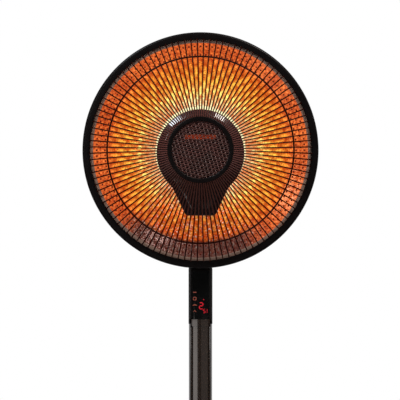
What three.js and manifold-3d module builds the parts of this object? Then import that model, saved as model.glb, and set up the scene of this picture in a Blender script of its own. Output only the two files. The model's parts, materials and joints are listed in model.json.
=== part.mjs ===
// A free-standing parabolic heater: a dish head behind a radial wire guard, on a slim column with a
// display, over a round weighted base. Millimetres, +Z up, the front faces -Y, and the origin lies on
// the floor under the middle of the base.
import * as THREE from "three";
import { mergeVertices } from "three/addons/utils/BufferGeometryUtils.js";
import Module from "manifold-3d";

const wasm = await Module();
wasm.setup();

// ---------------------------------------------------------------- driving dimensions

const GAP = 0.3; // between pieces that seat on each other
const BEYOND = 200; // a cut that ends here has passed all of the column

const TOTAL_HEIGHT = 950;

// Head: front ring, guard and dish.
const RING_RADIUS = 200;
const RING_LIP = 12; // the black band that shows from the front
const RING_DEPTH = 36;
const RING_WALL = 2.2;
const RING_EDGE = 7; // rounding of the ring's front edge
const RING_LIP_SHEET = 2;
const RING_SPACE = 3; // from the housing's front face to the ring's rear edge
const GUARD_PLAY = 0.2; // more than the gap, so that the guard's rim isn't pinched
const DISH_DEPTH = 93;
const DISH_SHEET = 1;
const FLANGE_WIDTH = 26; // the dish's shallow outer flange, round the deep mirror
const FLANGE_INSET = 5; // from the ring's lip in to the flange's outer edge
const FLANGE_RISE = 6; // the flange climbs this far towards the rim
const DISH_RIM = 10; // flat rim that the guard and the ring clamp
const SHELL = { wall: 2.2, play: 0.8, skirt: 2, shoulder: 9, shoulderBack: 10, mouth: 3 };
const SHELL_SPACE = 24; // from the dish to the shell behind it
const POD_RADIUS = 76; // the raised middle of the rear shell
const POD_DEPTH = 26; // from the dish's apex to the pod's back
const POD_EDGE = 7; // the chamfer round the pod's back, and the step at its foot
const VENT = { each: 9, pitch: 11, half: 1.8, low: -52, high: -16 }; // upright slots in the pod
const VENT_FAN = { inner: 0.52, outer: 0.7, step: 9 }; // shares of the ring's radius, and degrees
const HANDLE = { foot: 50, inside: 34, low: 24, high: 44, finger: 18, bow: 7, grip: 22, crown: 19 };
const HANDLE_TAPER = { outer: 6, inner: 3 }; // how far the feet lean in

// Guard.
const WIRE_COUNT = 108;
const WIRE_THICKNESS = 1.8;
const GUARD_RING_INSET = 30; // from the lip in to the one ring that crosses the wires
const GUARD_BULGE = 45; // the hub stands this far proud of the rim
const HUB_RADIUS = 56;
const HUB_BAND = 7.5;
const MESH_SHEET = 1.2;
const MESH_CELL = { width: 12.6, height: 7.2, web: 1.6 };
const MESH_SEAT = 2; // from the hub band's outer edge in to the mesh's edge

// Lamp and the shield in front of it.
const LAMP_RADIUS = 50;
const LAMP_LEG = 16; // half the spacing of the two legs
const LAMP_FILLET = 14;
const LAMP_TUBE = 5;
const LAMP_BORE = 3.9;
const LAMP_STANDOFF = 25.2; // from the dish forward to the feet of the lamp's legs
const FILAMENT = 1.6;
const CAP = { radius: 7, length: 16, socket: 7 };
const BRACKET = { half: 27, front: 10, low: 6, high: 3 };
const CLIP = { half: 4, bore: 0.9, wall: 1.5, strip: 1 };
const SHIELD_RADIUS = 75;
const SHIELD_DROP = 4.7; // its round part sits this far below the head's axis
const SHIELD_REACH = 111.4; // from the axis down to the foot of its neck
const SHIELD_NECK = 25.5; // half the neck's width at its foot
const SHIELD_STANDOFF = 28; // from the lamp forward to the shield's face
const SHIELD_LEG_SPACE = 14; // from the shield's foot up to the ends of the lamp's legs
const SHIELD_RIM = 14;
const SHIELD_SHEET = 1.2;
const SHIELD_SLOT = { width: 53, height: 7.6, rise: 23, corner: 2 };
const SHIELD_FOOT = { corner: 5, lean: 2 }; // the neck widens by lean above its rounded corners
const SHIELD_JOINT = { angle: -50, bend: 0.12, soft: 0.25 }; // where the neck leaves the circle
const POST = { radius: 3, inset: 26, drop: 8, neck: 76 };
const CUTOFF = { place: 0.42, radius: 8, length: 14, tipRadius: 5, tip: 4, sunk: 6 };
const TERMINALS = { half: 22, depth: 12, low: 26, high: 42 };

// Column.
const HOUSING = { height: 104, wall: 2.4, corner: 11, shoulder: 6 };
const HOUSING_STEP = { side: 0.45, end: 1 }; // how far it stands out past the pole's faces
const HOUSING_OVERLAP = 2; // how far its top stands above the ring's lowest point
const TONGUE = { side: 3.8, drop: 4.5, back: -13 };
const WINDOW = { margin: 1.4, sheet: 1.7, top: 12, foot: 1.2, corner: 3, reach: 20 };
const APERTURE = { half: 10, foot: 12, top: 20 }; // the hole in the housing behind the window
const BEHIND_WINDOW = { digits: 68, receiver: 24, depth: 6.3 }; // down from the housing's top
const DIGITS = { half: 8, halfHeight: 11 };
const RECEIVER = { half: 3, below: 4, above: 3 };
const BOARD = { half: 13, sheet: 1.6, foot: 9, top: 14 };
const ROCKER = { drop: 62, half: 4.9, back: 3, lean: 8, tail: 6, tailHalf: 3 };
const ROCKER_FACE = { edge: 4.6, high: 6.9, dip: 3.4 };
const ROCKER_BOX = { half: 5.2, halfHeight: 8.2, wall: 1, bezel: 2.4, sheet: 1.5, front: 8, floor: 12 };
const HOUSING_SCREW = { top: 18, foot: 10, shank: 1.6, length: 6, head: 3, headHeight: 1.6 };
const POLE = { width: 40.4, depth: 44, corner: 10, wall: 1.5, groove: 1.2, grooveInset: 7 };
const POLE_FRONT = { crown: 1.1, wall: 2, shoulder: 2, side: 0.6, sideBack: 4, lip: 0.4 };
const POLE_SPLIT = 0.48; // share of the pole's length below the joint
const JOINER = { reach: 34, wall: 2.4, head: 8 };

// Tilt hinge between the column and the head.
const TILT = { y: 10, rise: 22, ear: 12, lug: 11, lugHalf: 8.5, earSheet: 5, earPlay: 0.5, bolt: 4 };
const LUG = { back: 4, front: 32, heel: 3, arc: 0.35 }; // arc: how far past level it rounds, of pi
const CLEVIS_FOOT = { height: 5, overlap: 1 };
const BOLT = { head: 6.5, headHeight: 3, past: 7, nut: 7, nutHeight: 5 };

// Base.
const BASE_RADIUS = 160;
const BASE_WALL = 2.5;
const BASE_DOME = { side: 15, edge: 9, edgeTop: 22, middle: 0.68, middleTop: 31.5, collarFoot: 44 };
const BASE_SCREW = { inset: 6.5, turn: 0.3, shank: 1.7, length: 8, head: 3.4, headHeight: 2 };
const BOSS = { radius: 5, top: 20.5, bore: 2, boreTop: 15 };
const FOOT = { radius: 11, height: 4.7, inset: 24, chamfer: 1.5 };
const PLATE = { sheet: 1.5, bottom: 5, play: 0.8, screwHole: 2.2, plungerPlay: 0.4 };
const COLLAR = { radius: 46, top: 52, hole: 30 };
const BALLAST = { gap: 3, inset: 22, height: 8 };
const PIVOT = { stem: 15, journal: 8.5, shoulder: 46, top: 70, bore: 5.5, flange: 26, play: 0.4 };
const PIVOT_FLANGE = { edge: 3.5, root: 7 }; // heights over the plate
const WASHER_SHEET = 2;
const PIVOT_NUT = { corner: 3.5, height: 4 };
const TURNTABLE = { radius: 45, height: 8, plug: 34, lift: 0.6, edge: 4, skirt: 1, skirtWall: 4 };
const TURNTABLE_PLUG = { well: 4.5, overlap: 2, collarPlay: 1.5 };
const GLAND = { z: 13, radius: 6, bore: 3.4, tail: 5.2, lip: 4.2 };
const GLAND_DEPTH = { whole: 16, neck: 8, mouth: 3, sunk: 0.5 }; // in from the base's edge

// Swing drive: a pinion on the motor turns a toothed sector under the turntable.
const GEAR = { module: 1.5, pinion: 18, sector: 54, sectorTeeth: 15, width: 6, bottom: 27, slack: 0.4 };
const TOOTH = { pressure: Math.PI / 9, root: 1.25, tip: 0.9 }; // root and tip in modules
const SECTOR_HUB = 4;
const PINION_HUB = { radius: 6, overlap: 1 };
const MOTOR = { radius: 24, flange: 3, flangeSheet: 2, height: 15, offset: 8 };

const TIP = { y: -64, stem: 3.2, foot: 7, footHeight: 3.2, edge: 1, travel: 6, top: 16, head: 5.6 };
const TIP_BOX = { half: 11, halfDepth: 8, top: 30, well: 6, wellRoom: 8 };

const SEGMENTS = { ring: 38, base: 30, ballast: 28, small: 16, nut: 12, cap: 10, screw: 6 };

// ---------------------------------------------------------------- places worked out from them

const headZ = TOTAL_HEIGHT - RING_RADIUS;
const ringBottomZ = headZ - RING_RADIUS;
const housingWidth = POLE.width + 2 * HOUSING_STEP.side;
const housingDepth = POLE.depth + 2 * HOUSING_STEP.end;
const ringRearY = -housingDepth / 2 - RING_SPACE;
const ringFrontY = ringRearY - RING_DEPTH;
const lipRadius = RING_RADIUS - RING_LIP;
const guardRimY = ringFrontY + RING_LIP_SHEET + GAP + WIRE_THICKNESS / 2 + GUARD_PLAY;
const dishRimY = guardRimY + WIRE_THICKNESS / 2 + GAP;
const flangeRadius = lipRadius - FLANGE_INSET;
const dishRimRadius = flangeRadius + DISH_RIM;
const mirrorRadius = flangeRadius - FLANGE_WIDTH;
const guardRingRadius = lipRadius - GUARD_RING_INSET;
const shellRimY = dishRimY + DISH_SHEET + GAP;
const apexY = dishRimY + DISH_DEPTH;
const podBackY = apexY + POD_DEPTH;
const housingTopZ = ringBottomZ + HOUSING_OVERLAP;
const housingBottomZ = housingTopZ - HOUSING.height;
const poleTopZ = housingBottomZ + TONGUE.drop;
const tongueHalf = POLE.width / 2 - TONGUE.side;
const windowHalf = tongueHalf - WINDOW.margin;
const tiltZ = ringBottomZ + TILT.rise;
const plateTopZ = PLATE.bottom + PLATE.sheet;
const turntableZ = COLLAR.top + TURNTABLE.lift;
const poleBottomZ = turntableZ + TURNTABLE.height + GAP;
const poleSplitZ = poleBottomZ + (poleTopZ - poleBottomZ) * POLE_SPLIT;
const gearSpacing = (GEAR.module * (GEAR.pinion + GEAR.sector)) / 2;
const ballastInner = gearSpacing + MOTOR.offset + MOTOR.radius + MOTOR.flange + BALLAST.gap;
const ballastOuter = BASE_RADIUS - BALLAST.inset;
const digitsZ = housingTopZ - BEHIND_WINDOW.digits;
const receiverZ = housingTopZ - BEHIND_WINDOW.receiver;
const rockerZ = housingTopZ - ROCKER.drop;
const housingScrewZ = [housingTopZ - HOUSING_SCREW.top, poleTopZ + HOUSING_SCREW.foot];
const earInner = TILT.lugHalf + TILT.earPlay;
const earOuter = earInner + TILT.earSheet;
const washerTop = PIVOT.shoulder + GAP + WASHER_SHEET;
const motorTop = plateTopZ + GAP + MOTOR.height;
const headOrigin = new THREE.Vector3(0, 0, headZ);

/** The y of the dish's front face: a parabola, and then the flange. */
const dishY = (r) =>
  r < mirrorRadius
    ? apexY - (DISH_DEPTH - FLANGE_RISE) * (r / mirrorRadius) ** 2
    : dishRimY + (FLANGE_RISE * (flangeRadius - r)) / (flangeRadius - mirrorRadius);

/** The y of the rear shell's outer face between its rim and its pod. */
const shellY = (r) => apexY + SHELL_SPACE - DISH_DEPTH * (r / flangeRadius) ** 2;

const legEndZ = SHIELD_LEG_SPACE - SHIELD_REACH;
const lampY = dishY(Math.hypot(LAMP_LEG, legEndZ)) - LAMP_STANDOFF;
const shieldFrontY = lampY - SHIELD_STANDOFF;

// ---------------------------------------------------------------- finishes

const finish = (color, roughness, metalness) =>
  new THREE.MeshStandardMaterial({ color, roughness, metalness });

const FINISH = {
  blackPlastic: finish(0x0b0a0a, 0.38, 0),
  glossBlack: finish(0x040404, 0.08, 0),
  poleMetal: finish(0x3a3431, 0.22, 0.85),
  enamelWire: finish(0x120b09, 0.45, 0.4),
  shieldEnamel: finish(0x1c1315, 0.5, 0.3),
  polishedDish: finish(0xf09040, 0.22, 0.9),
  quartz: finish(0xffd9b0, 0.05, 0),
  filament: finish(0xff7a1e, 0.6, 0),
  ceramic: finish(0xe8e2d4, 0.6, 0),
  steel: finish(0x9a9a98, 0.35, 0.9),
  castIron: finish(0x2c2c2e, 0.8, 0.5),
  rubber: finish(0x161616, 0.9, 0),
  nylon: finish(0xe6e2d6, 0.5, 0),
  board: finish(0x1d5a34, 0.5, 0),
  digits: finish(0xd01424, 0.3, 0),
};

// ---------------------------------------------------------------- shaping

const point = (x, y) => new THREE.Vector2(x, y);

/** The closed mesh of a geometry as a solid that can be cut. */
function solid(geometry) {
  const bare = geometry.index ? geometry.toNonIndexed() : geometry.clone();
  bare.deleteAttribute("normal");
  bare.deleteAttribute("uv");
  const merged = mergeVertices(bare, 1e-4);
  const mesh = new wasm.Mesh({
    numProp: 3,
    vertProperties: new Float32Array(merged.attributes.position.array),
    triVerts: new Uint32Array(merged.index.array),
  });
  return new wasm.Manifold(mesh);
}

/** A solid's surface as a geometry with flat faces. */
function surface(body) {
  const mesh = body.getMesh();
  const shape = new THREE.BufferGeometry();
  const places = new Float32Array(mesh.numVert * 3);
  for (let i = 0; i < mesh.numVert; i++) {
    places.set(mesh.vertProperties.subarray(i * mesh.numProp, i * mesh.numProp + 3), i * 3);
  }
  shape.setAttribute("position", new THREE.BufferAttribute(places, 3));
  shape.setIndex(new THREE.BufferAttribute(new Uint32Array(mesh.triVerts), 1));
  const flat = shape.toNonIndexed();
  flat.computeVertexNormals();
  return flat;
}

/** The base solid with pieces joined to it, and then others cut from it. */
function carve(base, { join = [], cut = [] }) {
  let body = solid(base);
  for (const piece of join) body = body.add(solid(piece));
  for (const piece of cut) body = body.subtract(solid(piece));
  return surface(body);
}

/** Turns a closed profile of [radius, along] points about the Y axis. */
function turn(profile, segments) {
  const area = profile.reduce((sum, [r, a], i) => {
    const [r2, a2] = profile[(i + 1) % profile.length];
    return sum + (r * a2 - r2 * a) / 2;
  }, 0);
  const ordered = area > 0 ? [...profile] : [...profile].reverse();
  // A profile that meets the axis starts and ends there, and any other closes on itself.
  const start = ordered.findIndex(([r], i) => r === 0 && ordered.at(i - 1)[0] === 0);
  const rolled = start < 0 ? ordered : [...ordered.slice(start), ...ordered.slice(0, start)];
  if (start < 0) rolled.push(rolled[0]);
  return new THREE.LatheGeometry(rolled.map(([r, a]) => point(r, a)), segments);
}

/** The same, about the Z axis. */
const turnUp = (profile, segments) => turn(profile, segments).rotateX(Math.PI / 2);

/** The same, about the X axis. */
const turnAcross = (profile, segments) => turn(profile, segments).rotateZ(-Math.PI / 2);

/** A round bar between two distances along the axis of turnUp, turn or turnAcross. */
const bar = (radius, from, to) => [[0, from], [radius, from], [radius, to], [0, to]];

/** A tube's profile. */
const sleeve = (inner, outer, from, to) => [[inner, from], [outer, from], [outer, to], [inner, to]];

const box = (x0, x1, y0, y1, z0, z1) =>
  new THREE.BoxGeometry(x1 - x0, y1 - y0, z1 - z0).translate(
    (x0 + x1) / 2,
    (y0 + y1) / 2,
    (z0 + z1) / 2,
  );

/** A flat outline in X and Y raised along Z. */
const raise = (shape, from, to, curveSegments = 4) =>
  new THREE.ExtrudeGeometry(shape, {
    depth: to - from,
    bevelEnabled: false,
    curveSegments,
  }).translate(0, 0, from);

/** A flat outline in X and Z that starts at frontY and goes back by depth. */
const push = (shape, frontY, depth, curveSegments = 6) =>
  new THREE.ExtrudeGeometry(shape, { depth, bevelEnabled: false, curveSegments })
    .rotateX(Math.PI / 2)
    .translate(0, frontY + depth, 0);

/** A flat outline in Y and Z that spans x0 to x1. */
const span = (shape, x0, x1, curveSegments = 6) =>
  new THREE.ExtrudeGeometry(shape, { depth: x1 - x0, bevelEnabled: false, curveSegments })
    .rotateY(Math.PI / 2)
    .rotateX(Math.PI / 2)
    .translate(x0, 0, 0);

/** A rectangle with rounded corners, from its lowest to its highest corner. */
function roundedRectangle(x0, x1, y0, y1, radius) {
  const shape = new THREE.Shape();
  shape.absarc(x1 - radius, y0 + radius, radius, -Math.PI / 2, 0);
  shape.absarc(x1 - radius, y1 - radius, radius, 0, Math.PI / 2);
  shape.absarc(x0 + radius, y1 - radius, radius, Math.PI / 2, Math.PI);
  shape.absarc(x0 + radius, y0 + radius, radius, Math.PI, Math.PI * 1.5);
  return shape;
}

/** A round hole for a flat outline, centred on x and y. */
function roundHole(x, y, radius, sides) {
  const corners = Array.from({ length: sides }, (_, i) => {
    const angle = (-i * 2 * Math.PI) / sides;
    return point(x + radius * Math.cos(angle), y + radius * Math.sin(angle));
  });
  return new THREE.Path(corners);
}

/** A hexagon nut round the Z axis. */
function hexNut(bore, corner, from, to) {
  const shape = new THREE.Shape();
  for (let i = 0; i < 6; i++) {
    const angle = (i * Math.PI) / 3;
    shape[i ? "lineTo" : "moveTo"](corner * Math.cos(angle), corner * Math.sin(angle));
  }
  shape.holes.push(roundHole(0, 0, bore, SEGMENTS.nut));
  return raise(shape, from, to);
}

/** An open line of [radius, along] points moved sideways by a distance, square to each stretch. */
function offsetLine(line, distance) {
  return line.map(([r, a], i) => {
    const [r0, a0] = line[Math.max(i - 1, 0)];
    const [r1, a1] = line[Math.min(i + 1, line.length - 1)];
    const before = point(r - r0, a - a0).normalize();
    const after = point(r1 - r, a1 - a).normalize();
    const along = point(before.x + after.x, before.y + after.y).normalize();
    const lean = i > 0 && i < line.length - 1 ? Math.max(0.5, along.dot(after)) : 1;
    const moved = [r - (along.y * distance) / lean, a + (along.x * distance) / lean];
    return r === 0 ? [0, a + distance] : moved;
  });
}

const root = new THREE.Group();
const headGroup = new THREE.Group();
headGroup.position.copy(headOrigin);
root.add(headGroup);

/** Adds a named piece to a group. */
function place(group, name, geometry, material) {
  const mesh = new THREE.Mesh(geometry, material);
  mesh.name = name;
  group.add(mesh);
  return mesh;
}

/** A pan-head screw whose shank runs from the origin along +Z and whose head lies below it. */
function screw({ shank, length, head, headHeight }) {
  const profile = [
    [0, -headHeight],
    [head * 0.7, -headHeight],
    [head, -headHeight * 0.35],
    [head, 0],
    [shank, 0],
    [shank, length],
    [0, length],
  ];
  return turnUp(profile, SEGMENTS.screw);
}

// ---------------------------------------------------------------- head: ring, guard, dish and shell

/** The front ring: a rolled lip over the guard's rim and a skirt round the shell. */
function frontRing() {
  const bend = (radius, steps) =>
    Array.from({ length: steps + 1 }, (_, i) => {
      const turnBy = (i / steps) * (Math.PI / 2);
      return [
        RING_RADIUS - RING_EDGE + radius * Math.cos(turnBy),
        ringFrontY + RING_EDGE - radius * Math.sin(turnBy),
      ];
    });
  const lipBack = ringFrontY + RING_LIP_SHEET;
  const inner = bend(RING_EDGE - RING_WALL, 2).reverse();
  inner[0] = [inner[0][0], lipBack];
  return turn(
    [
      [RING_RADIUS, ringRearY],
      ...bend(RING_EDGE, 3),
      [lipRadius, ringFrontY],
      [lipRadius, lipBack],
      ...inner,
      [RING_RADIUS - RING_WALL, ringRearY],
    ],
    SEGMENTS.ring,
  );
}

/** The line of one guard wire, from the hub to the rim, as [radius, y, is part of a ring]. */
function wireLine() {
  const hubY = guardRimY - GUARD_BULGE;
  const domeY = (r) => {
    const share = (r - HUB_RADIUS) / (lipRadius - HUB_RADIUS);
    return guardRimY - GUARD_BULGE * Math.sqrt(1 - share * share);
  };
  const half = WIRE_THICKNESS / 2;
  const ringY = domeY(guardRingRadius);
  const lean = half * 0.6; // the dome's slope across the crossing ring
  const rim = dishRimRadius - 2;
  return [
    [HUB_RADIUS - HUB_BAND, hubY, true],
    [HUB_RADIUS, hubY, false],
    [(HUB_RADIUS + guardRingRadius) / 2, domeY((HUB_RADIUS + guardRingRadius) / 2), false],
    [guardRingRadius - half, ringY - lean, true],
    [guardRingRadius + half, ringY + lean, false],
    [lipRadius - 2, guardRimY, false],
    [rim - WIRE_THICKNESS, guardRimY, true],
    [rim, guardRimY, false],
  ];
}

/**
 * The welded wire guard, as one closed mesh: three-sided wires that fan out from a flat hub, joined
 * by the hub's band, the crossing ring and the rim. A ring's stretch between two wires shares the
 * wires' own corners, so that nothing overlaps.
 */
function wireGuard() {
  const line = wireLine();
  const half = WIRE_THICKNESS / 2;
  const stations = line.length;
  const places = [];
  const faces = [];
  for (let i = 0; i < WIRE_COUNT; i++) {
    const angle = ((i + 0.5) / WIRE_COUNT) * 2 * Math.PI;
    const out = new THREE.Vector3(Math.cos(angle), 0, Math.sin(angle));
    const side = new THREE.Vector3(-Math.sin(angle), 0, Math.cos(angle));
    line.forEach(([r, y], k) => {
      const [r0, y0] = line[Math.max(k - 1, 0)];
      const [r1, y1] = line[Math.min(k + 1, stations - 1)];
      const along = point(r1 - r0, y1 - y0).normalize();
      const facing = out.clone().multiplyScalar(along.y).add(new THREE.Vector3(0, -along.x, 0));
      const middle = out.clone().multiplyScalar(r).setY(y);
      const corner = (f, s) => middle.clone().addScaledVector(facing, f).addScaledVector(side, s);
      places.push(corner(half, 0), corner(-half, -half), corner(-half, half));
    });
  }
  const at = (i, k, c) => ((i % WIRE_COUNT) * stations + k) * 3 + c;
  const quad = (a, b, c, d) => faces.push(a, b, c, a, c, d);
  for (let i = 0; i < WIRE_COUNT; i++) {
    faces.push(at(i, 0, 0), at(i, 0, 2), at(i, 0, 1));
    faces.push(at(i, stations - 1, 0), at(i, stations - 1, 1), at(i, stations - 1, 2));
    for (let k = 0; k < stations - 1; k++) {
      quad(at(i, k, 1), at(i, k, 2), at(i, k + 1, 2), at(i, k + 1, 1));
      if (!line[k][2]) {
        quad(at(i, k, 0), at(i, k, 1), at(i, k + 1, 1), at(i, k + 1, 0));
        quad(at(i, k, 2), at(i, k, 0), at(i, k + 1, 0), at(i, k + 1, 2));
        continue;
      }
      const here = [at(i, k, 2), at(i, k, 0), at(i, k + 1, 0), at(i, k + 1, 2)];
      const next = [at(i + 1, k, 1), at(i + 1, k, 0), at(i + 1, k + 1, 0), at(i + 1, k + 1, 1)];
      for (let j = 0; j < 4; j++) {
        const m = (j + 1) % 4;
        quad(here[j], here[m], next[m], next[j]);
      }
    }
  }
  const shape = new THREE.BufferGeometry();
  shape.setAttribute(
    "position",
    new THREE.Float32BufferAttribute(places.flatMap((p) => [p.x, p.y, p.z]), 3),
  );
  shape.setIndex(faces);
  const flat = shape.toNonIndexed();
  flat.computeVertexNormals();
  return flat;
}

/** The expanded-metal disc behind the guard's hub, with rows of diamond openings. */
function hubMesh() {
  const open = HUB_RADIUS - HUB_BAND;
  const shape = new THREE.Shape().absarc(0, 0, HUB_RADIUS - MESH_SEAT, 0, 2 * Math.PI);
  const { width, height, web } = MESH_CELL;
  const halfWide = (width - web * 1.6) / 2;
  const halfHigh = (height - web * 1.1) / 2;
  const rows = Math.floor(open / height);
  for (let row = -rows; row <= rows; row++) {
    const shift = row % 2 ? width / 2 : 0;
    const columns = Math.ceil(open / width);
    for (let column = -columns; column <= columns; column++) {
      const x = column * width + shift;
      const z = row * height;
      if (Math.hypot(Math.abs(x) + halfWide, Math.abs(z)) > open) continue;
      if (Math.hypot(x, Math.abs(z) + halfHigh) > open) continue;
      const hole = new THREE.Path();
      hole.moveTo(x - halfWide, z).lineTo(x, z - halfHigh);
      hole.lineTo(x + halfWide, z).lineTo(x, z + halfHigh);
      shape.holes.push(hole);
    }
  }
  return push(shape, guardRimY - GUARD_BULGE + WIRE_THICKNESS / 2 + GAP, MESH_SHEET, 18);
}

/** The dish's front face, from its apex to its rim. */
function dishLine() {
  const shares = [0, 0.34, 0.62, 0.83, 1]; // closer together where the bowl is steeper
  const radii = shares.map((share) => share * mirrorRadius);
  return [...radii, flangeRadius].map((r) => [r, dishY(r)]).concat([[dishRimRadius, dishRimY]]);
}

const reflector = () =>
  turn([...dishLine(), ...offsetLine(dishLine(), DISH_SHEET).reverse()], SEGMENTS.ring);

/** All that lies behind the dish's front face, which what stands on the dish is trimmed by. */
const behindDish = () =>
  turn(
    [...dishLine().map(([r, y]) => [r, y - GAP]), [dishRimRadius, podBackY], [0, podBackY]],
    SEGMENTS.ring,
  );

/** All that lies in front of the dish's back face. */
const beforeDishBack = () =>
  turn(
    [
      ...offsetLine(dishLine(), DISH_SHEET + GAP),
      [dishRimRadius, ringFrontY],
      [0, ringFrontY],
    ],
    SEGMENTS.ring,
  );

/** The rear shell's outer line, from its rim to the middle of the pod's back. */
function shellLine() {
  const rim = RING_RADIUS - RING_WALL - SHELL.play;
  const behind = (r) => [r, shellY(r)];
  return [
    [rim, shellRimY],
    [rim, ringRearY - SHELL.skirt],
    [rim - SHELL.shoulder, ringRearY + SHELL.shoulderBack],
    behind(RING_RADIUS * 0.75),
    behind(RING_RADIUS * 0.54),
    behind(POD_RADIUS + POD_EDGE),
    [POD_RADIUS, podBackY - POD_EDGE],
    [POD_RADIUS - POD_EDGE, podBackY],
    [0, podBackY],
  ];
}

/** The room inside the rear shell, behind the inward rim that backs the dish's rim. */
const shellHollow = () => {
  const inner = offsetLine(shellLine(), SHELL.wall);
  inner[0] = [inner[0][0], shellRimY + SHELL.wall];
  inner[inner.length - 1] = [0, podBackY - SHELL.wall];
  const mouth = flangeRadius + SHELL.mouth;
  return turn([[0, ringFrontY], [mouth, ringFrontY], [mouth, inner[0][1]], ...inner], SEGMENTS.ring);
};

/** The hinge lug under the shell, in Y and Z from the head's centre. */
function lugOutline() {
  const z = tiltZ - headZ;
  const shape = new THREE.Shape();
  shape.absarc(TILT.y, z, TILT.lug, -Math.PI / 2, Math.PI * LUG.arc);
  shape.lineTo(TILT.y - LUG.back, z + TILT.lug * 3);
  shape.lineTo(TILT.y - LUG.front, z + TILT.lug * 3);
  shape.lineTo(TILT.y - LUG.front, z - LUG.heel);
  return shape;
}

/** Vent slots: upright ones low in the pod's back, and a fan of them above the pod. */
function ventSlots() {
  const slots = [];
  const { half, low, high } = VENT;
  const innerR = RING_RADIUS * VENT_FAN.inner;
  const outerR = RING_RADIUS * VENT_FAN.outer;
  for (let i = 0; i < VENT.each; i++) {
    const place = i - (VENT.each - 1) / 2;
    const x = place * VENT.pitch;
    slots.push(box(x - half, x + half, apexY, podBackY + POD_EDGE, low, high));
    const slot = box(-half, half, shellY(outerR) - POD_DEPTH / 2, podBackY, innerR, outerR);
    slots.push(slot.rotateY(THREE.MathUtils.degToRad(place * VENT_FAN.step)));
  }
  return slots;
}

/** The moulded rear shell with its pod, vents and hinge lug. */
function rearShell() {
  const hollow = solid(shellHollow());
  let body = solid(turn([...shellLine(), [0, shellRimY]], SEGMENTS.ring));
  body = body.add(solid(span(lugOutline(), -TILT.lugHalf, TILT.lugHalf)));
  body = body.subtract(hollow);
  const bore = turnAcross(bar(TILT.bolt + GAP, -BEYOND, BEYOND), SEGMENTS.nut);
  body = body.subtract(solid(bore.translate(0, TILT.y, tiltZ - headZ)));
  for (const slot of ventSlots()) body = body.subtract(solid(slot));
  return surface(body);
}

/** The grip on the pod's back, a bowed bar on two feet. */
function rearHandle() {
  const y = podBackY + GAP;
  const shape = new THREE.Shape();
  const { foot, inside, finger, bow, grip, crown } = HANDLE;
  const inner = inside - HANDLE_TAPER.inner;
  const outer = foot - HANDLE_TAPER.outer;
  shape.moveTo(-foot, y).lineTo(-inside, y).lineTo(-inner, y + finger);
  shape.quadraticCurveTo(0, y + finger + bow, inner, y + finger);
  shape.lineTo(inside, y).lineTo(foot, y).lineTo(outer, y + grip);
  shape.quadraticCurveTo(0, y + grip + crown, -outer, y + grip);
  return raise(shape, HANDLE.low, HANDLE.high, 8);
}

// ---------------------------------------------------------------- head: lamp and shield

/** The lamp's centreline: an omega in a plane square to the head's axis. */
class OmegaCurve extends THREE.Curve {
  constructor(legEnd) {
    super();
    this.turnZ = -Math.sqrt((LAMP_RADIUS + LAMP_FILLET) ** 2 - (LAMP_LEG + LAMP_FILLET) ** 2);
    this.fillet = Math.atan2(-this.turnZ, LAMP_LEG + LAMP_FILLET);
    this.leg = this.turnZ - legEnd;
    this.round = LAMP_RADIUS * (Math.PI / 2 + this.fillet);
    this.half = this.leg + LAMP_FILLET * this.fillet + this.round;
  }

  /** The point at a share of the whole length, from the left leg's foot to the right one's. */
  getPoint(t, target = new THREE.Vector3()) {
    const mirrored = t > 0.5;
    let s = (mirrored ? 1 - t : t) * 2 * this.half;
    let x = -LAMP_LEG;
    let z = this.turnZ - this.leg + s;
    s -= this.leg;
    if (s > 0) {
      const bend = Math.min(s / LAMP_FILLET, this.fillet);
      x = -LAMP_LEG - LAMP_FILLET * (1 - Math.cos(bend));
      z = this.turnZ + LAMP_FILLET * Math.sin(bend);
      s -= LAMP_FILLET * this.fillet;
    }
    if (s > 0) {
      const angle = -Math.PI + this.fillet - s / LAMP_RADIUS;
      x = LAMP_RADIUS * Math.cos(angle);
      z = LAMP_RADIUS * Math.sin(angle);
    }
    return target.set(mirrored ? -x : x, lampY, z);
  }
}

/** A round tube or rod along the omega. */
function alongOmega(radius, bore, sides, extra = 0) {
  const curve = new OmegaCurve(legEndZ - extra);
  const shape = new THREE.Shape().absarc(0, 0, radius, 0, 2 * Math.PI);
  if (bore) shape.holes.push(new THREE.Path().absarc(0, 0, bore, 0, 2 * Math.PI, true));
  return new THREE.ExtrudeGeometry(shape, {
    extrudePath: curve,
    steps: 22,
    curveSegments: sides,
    bevelEnabled: false,
  });
}

/** A ceramic cap on one end of the lamp, open upwards for the tube. */
function lampCap(side) {
  const rim = legEndZ + CAP.socket;
  const floor = legEndZ - GAP;
  const profile = [
    [0, rim - CAP.length],
    [CAP.radius, rim - CAP.length],
    [CAP.radius, rim],
    [LAMP_TUBE + GAP, rim],
    [LAMP_TUBE + GAP, floor],
    [0, floor],
  ];
  return turnUp(profile, SEGMENTS.cap).translate(side * LAMP_LEG, lampY, 0);
}

/** The plate that stands on the dish and carries both caps. */
function lampBracket() {
  const shape = new THREE.Shape();
  const { half, low, high } = BRACKET;
  const front = lampY - BRACKET.front;
  shape.moveTo(-half, front).lineTo(half, front).lineTo(half, apexY).lineTo(-half, apexY);
  for (const side of [-1, 1]) {
    shape.holes.push(roundHole(side * LAMP_LEG, lampY, CAP.radius + 2 * GAP, SEGMENTS.nut));
  }
  const plate = raise(shape, legEndZ - low, legEndZ - high);
  return carve(plate, { cut: [behindDish()] });
}

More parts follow.
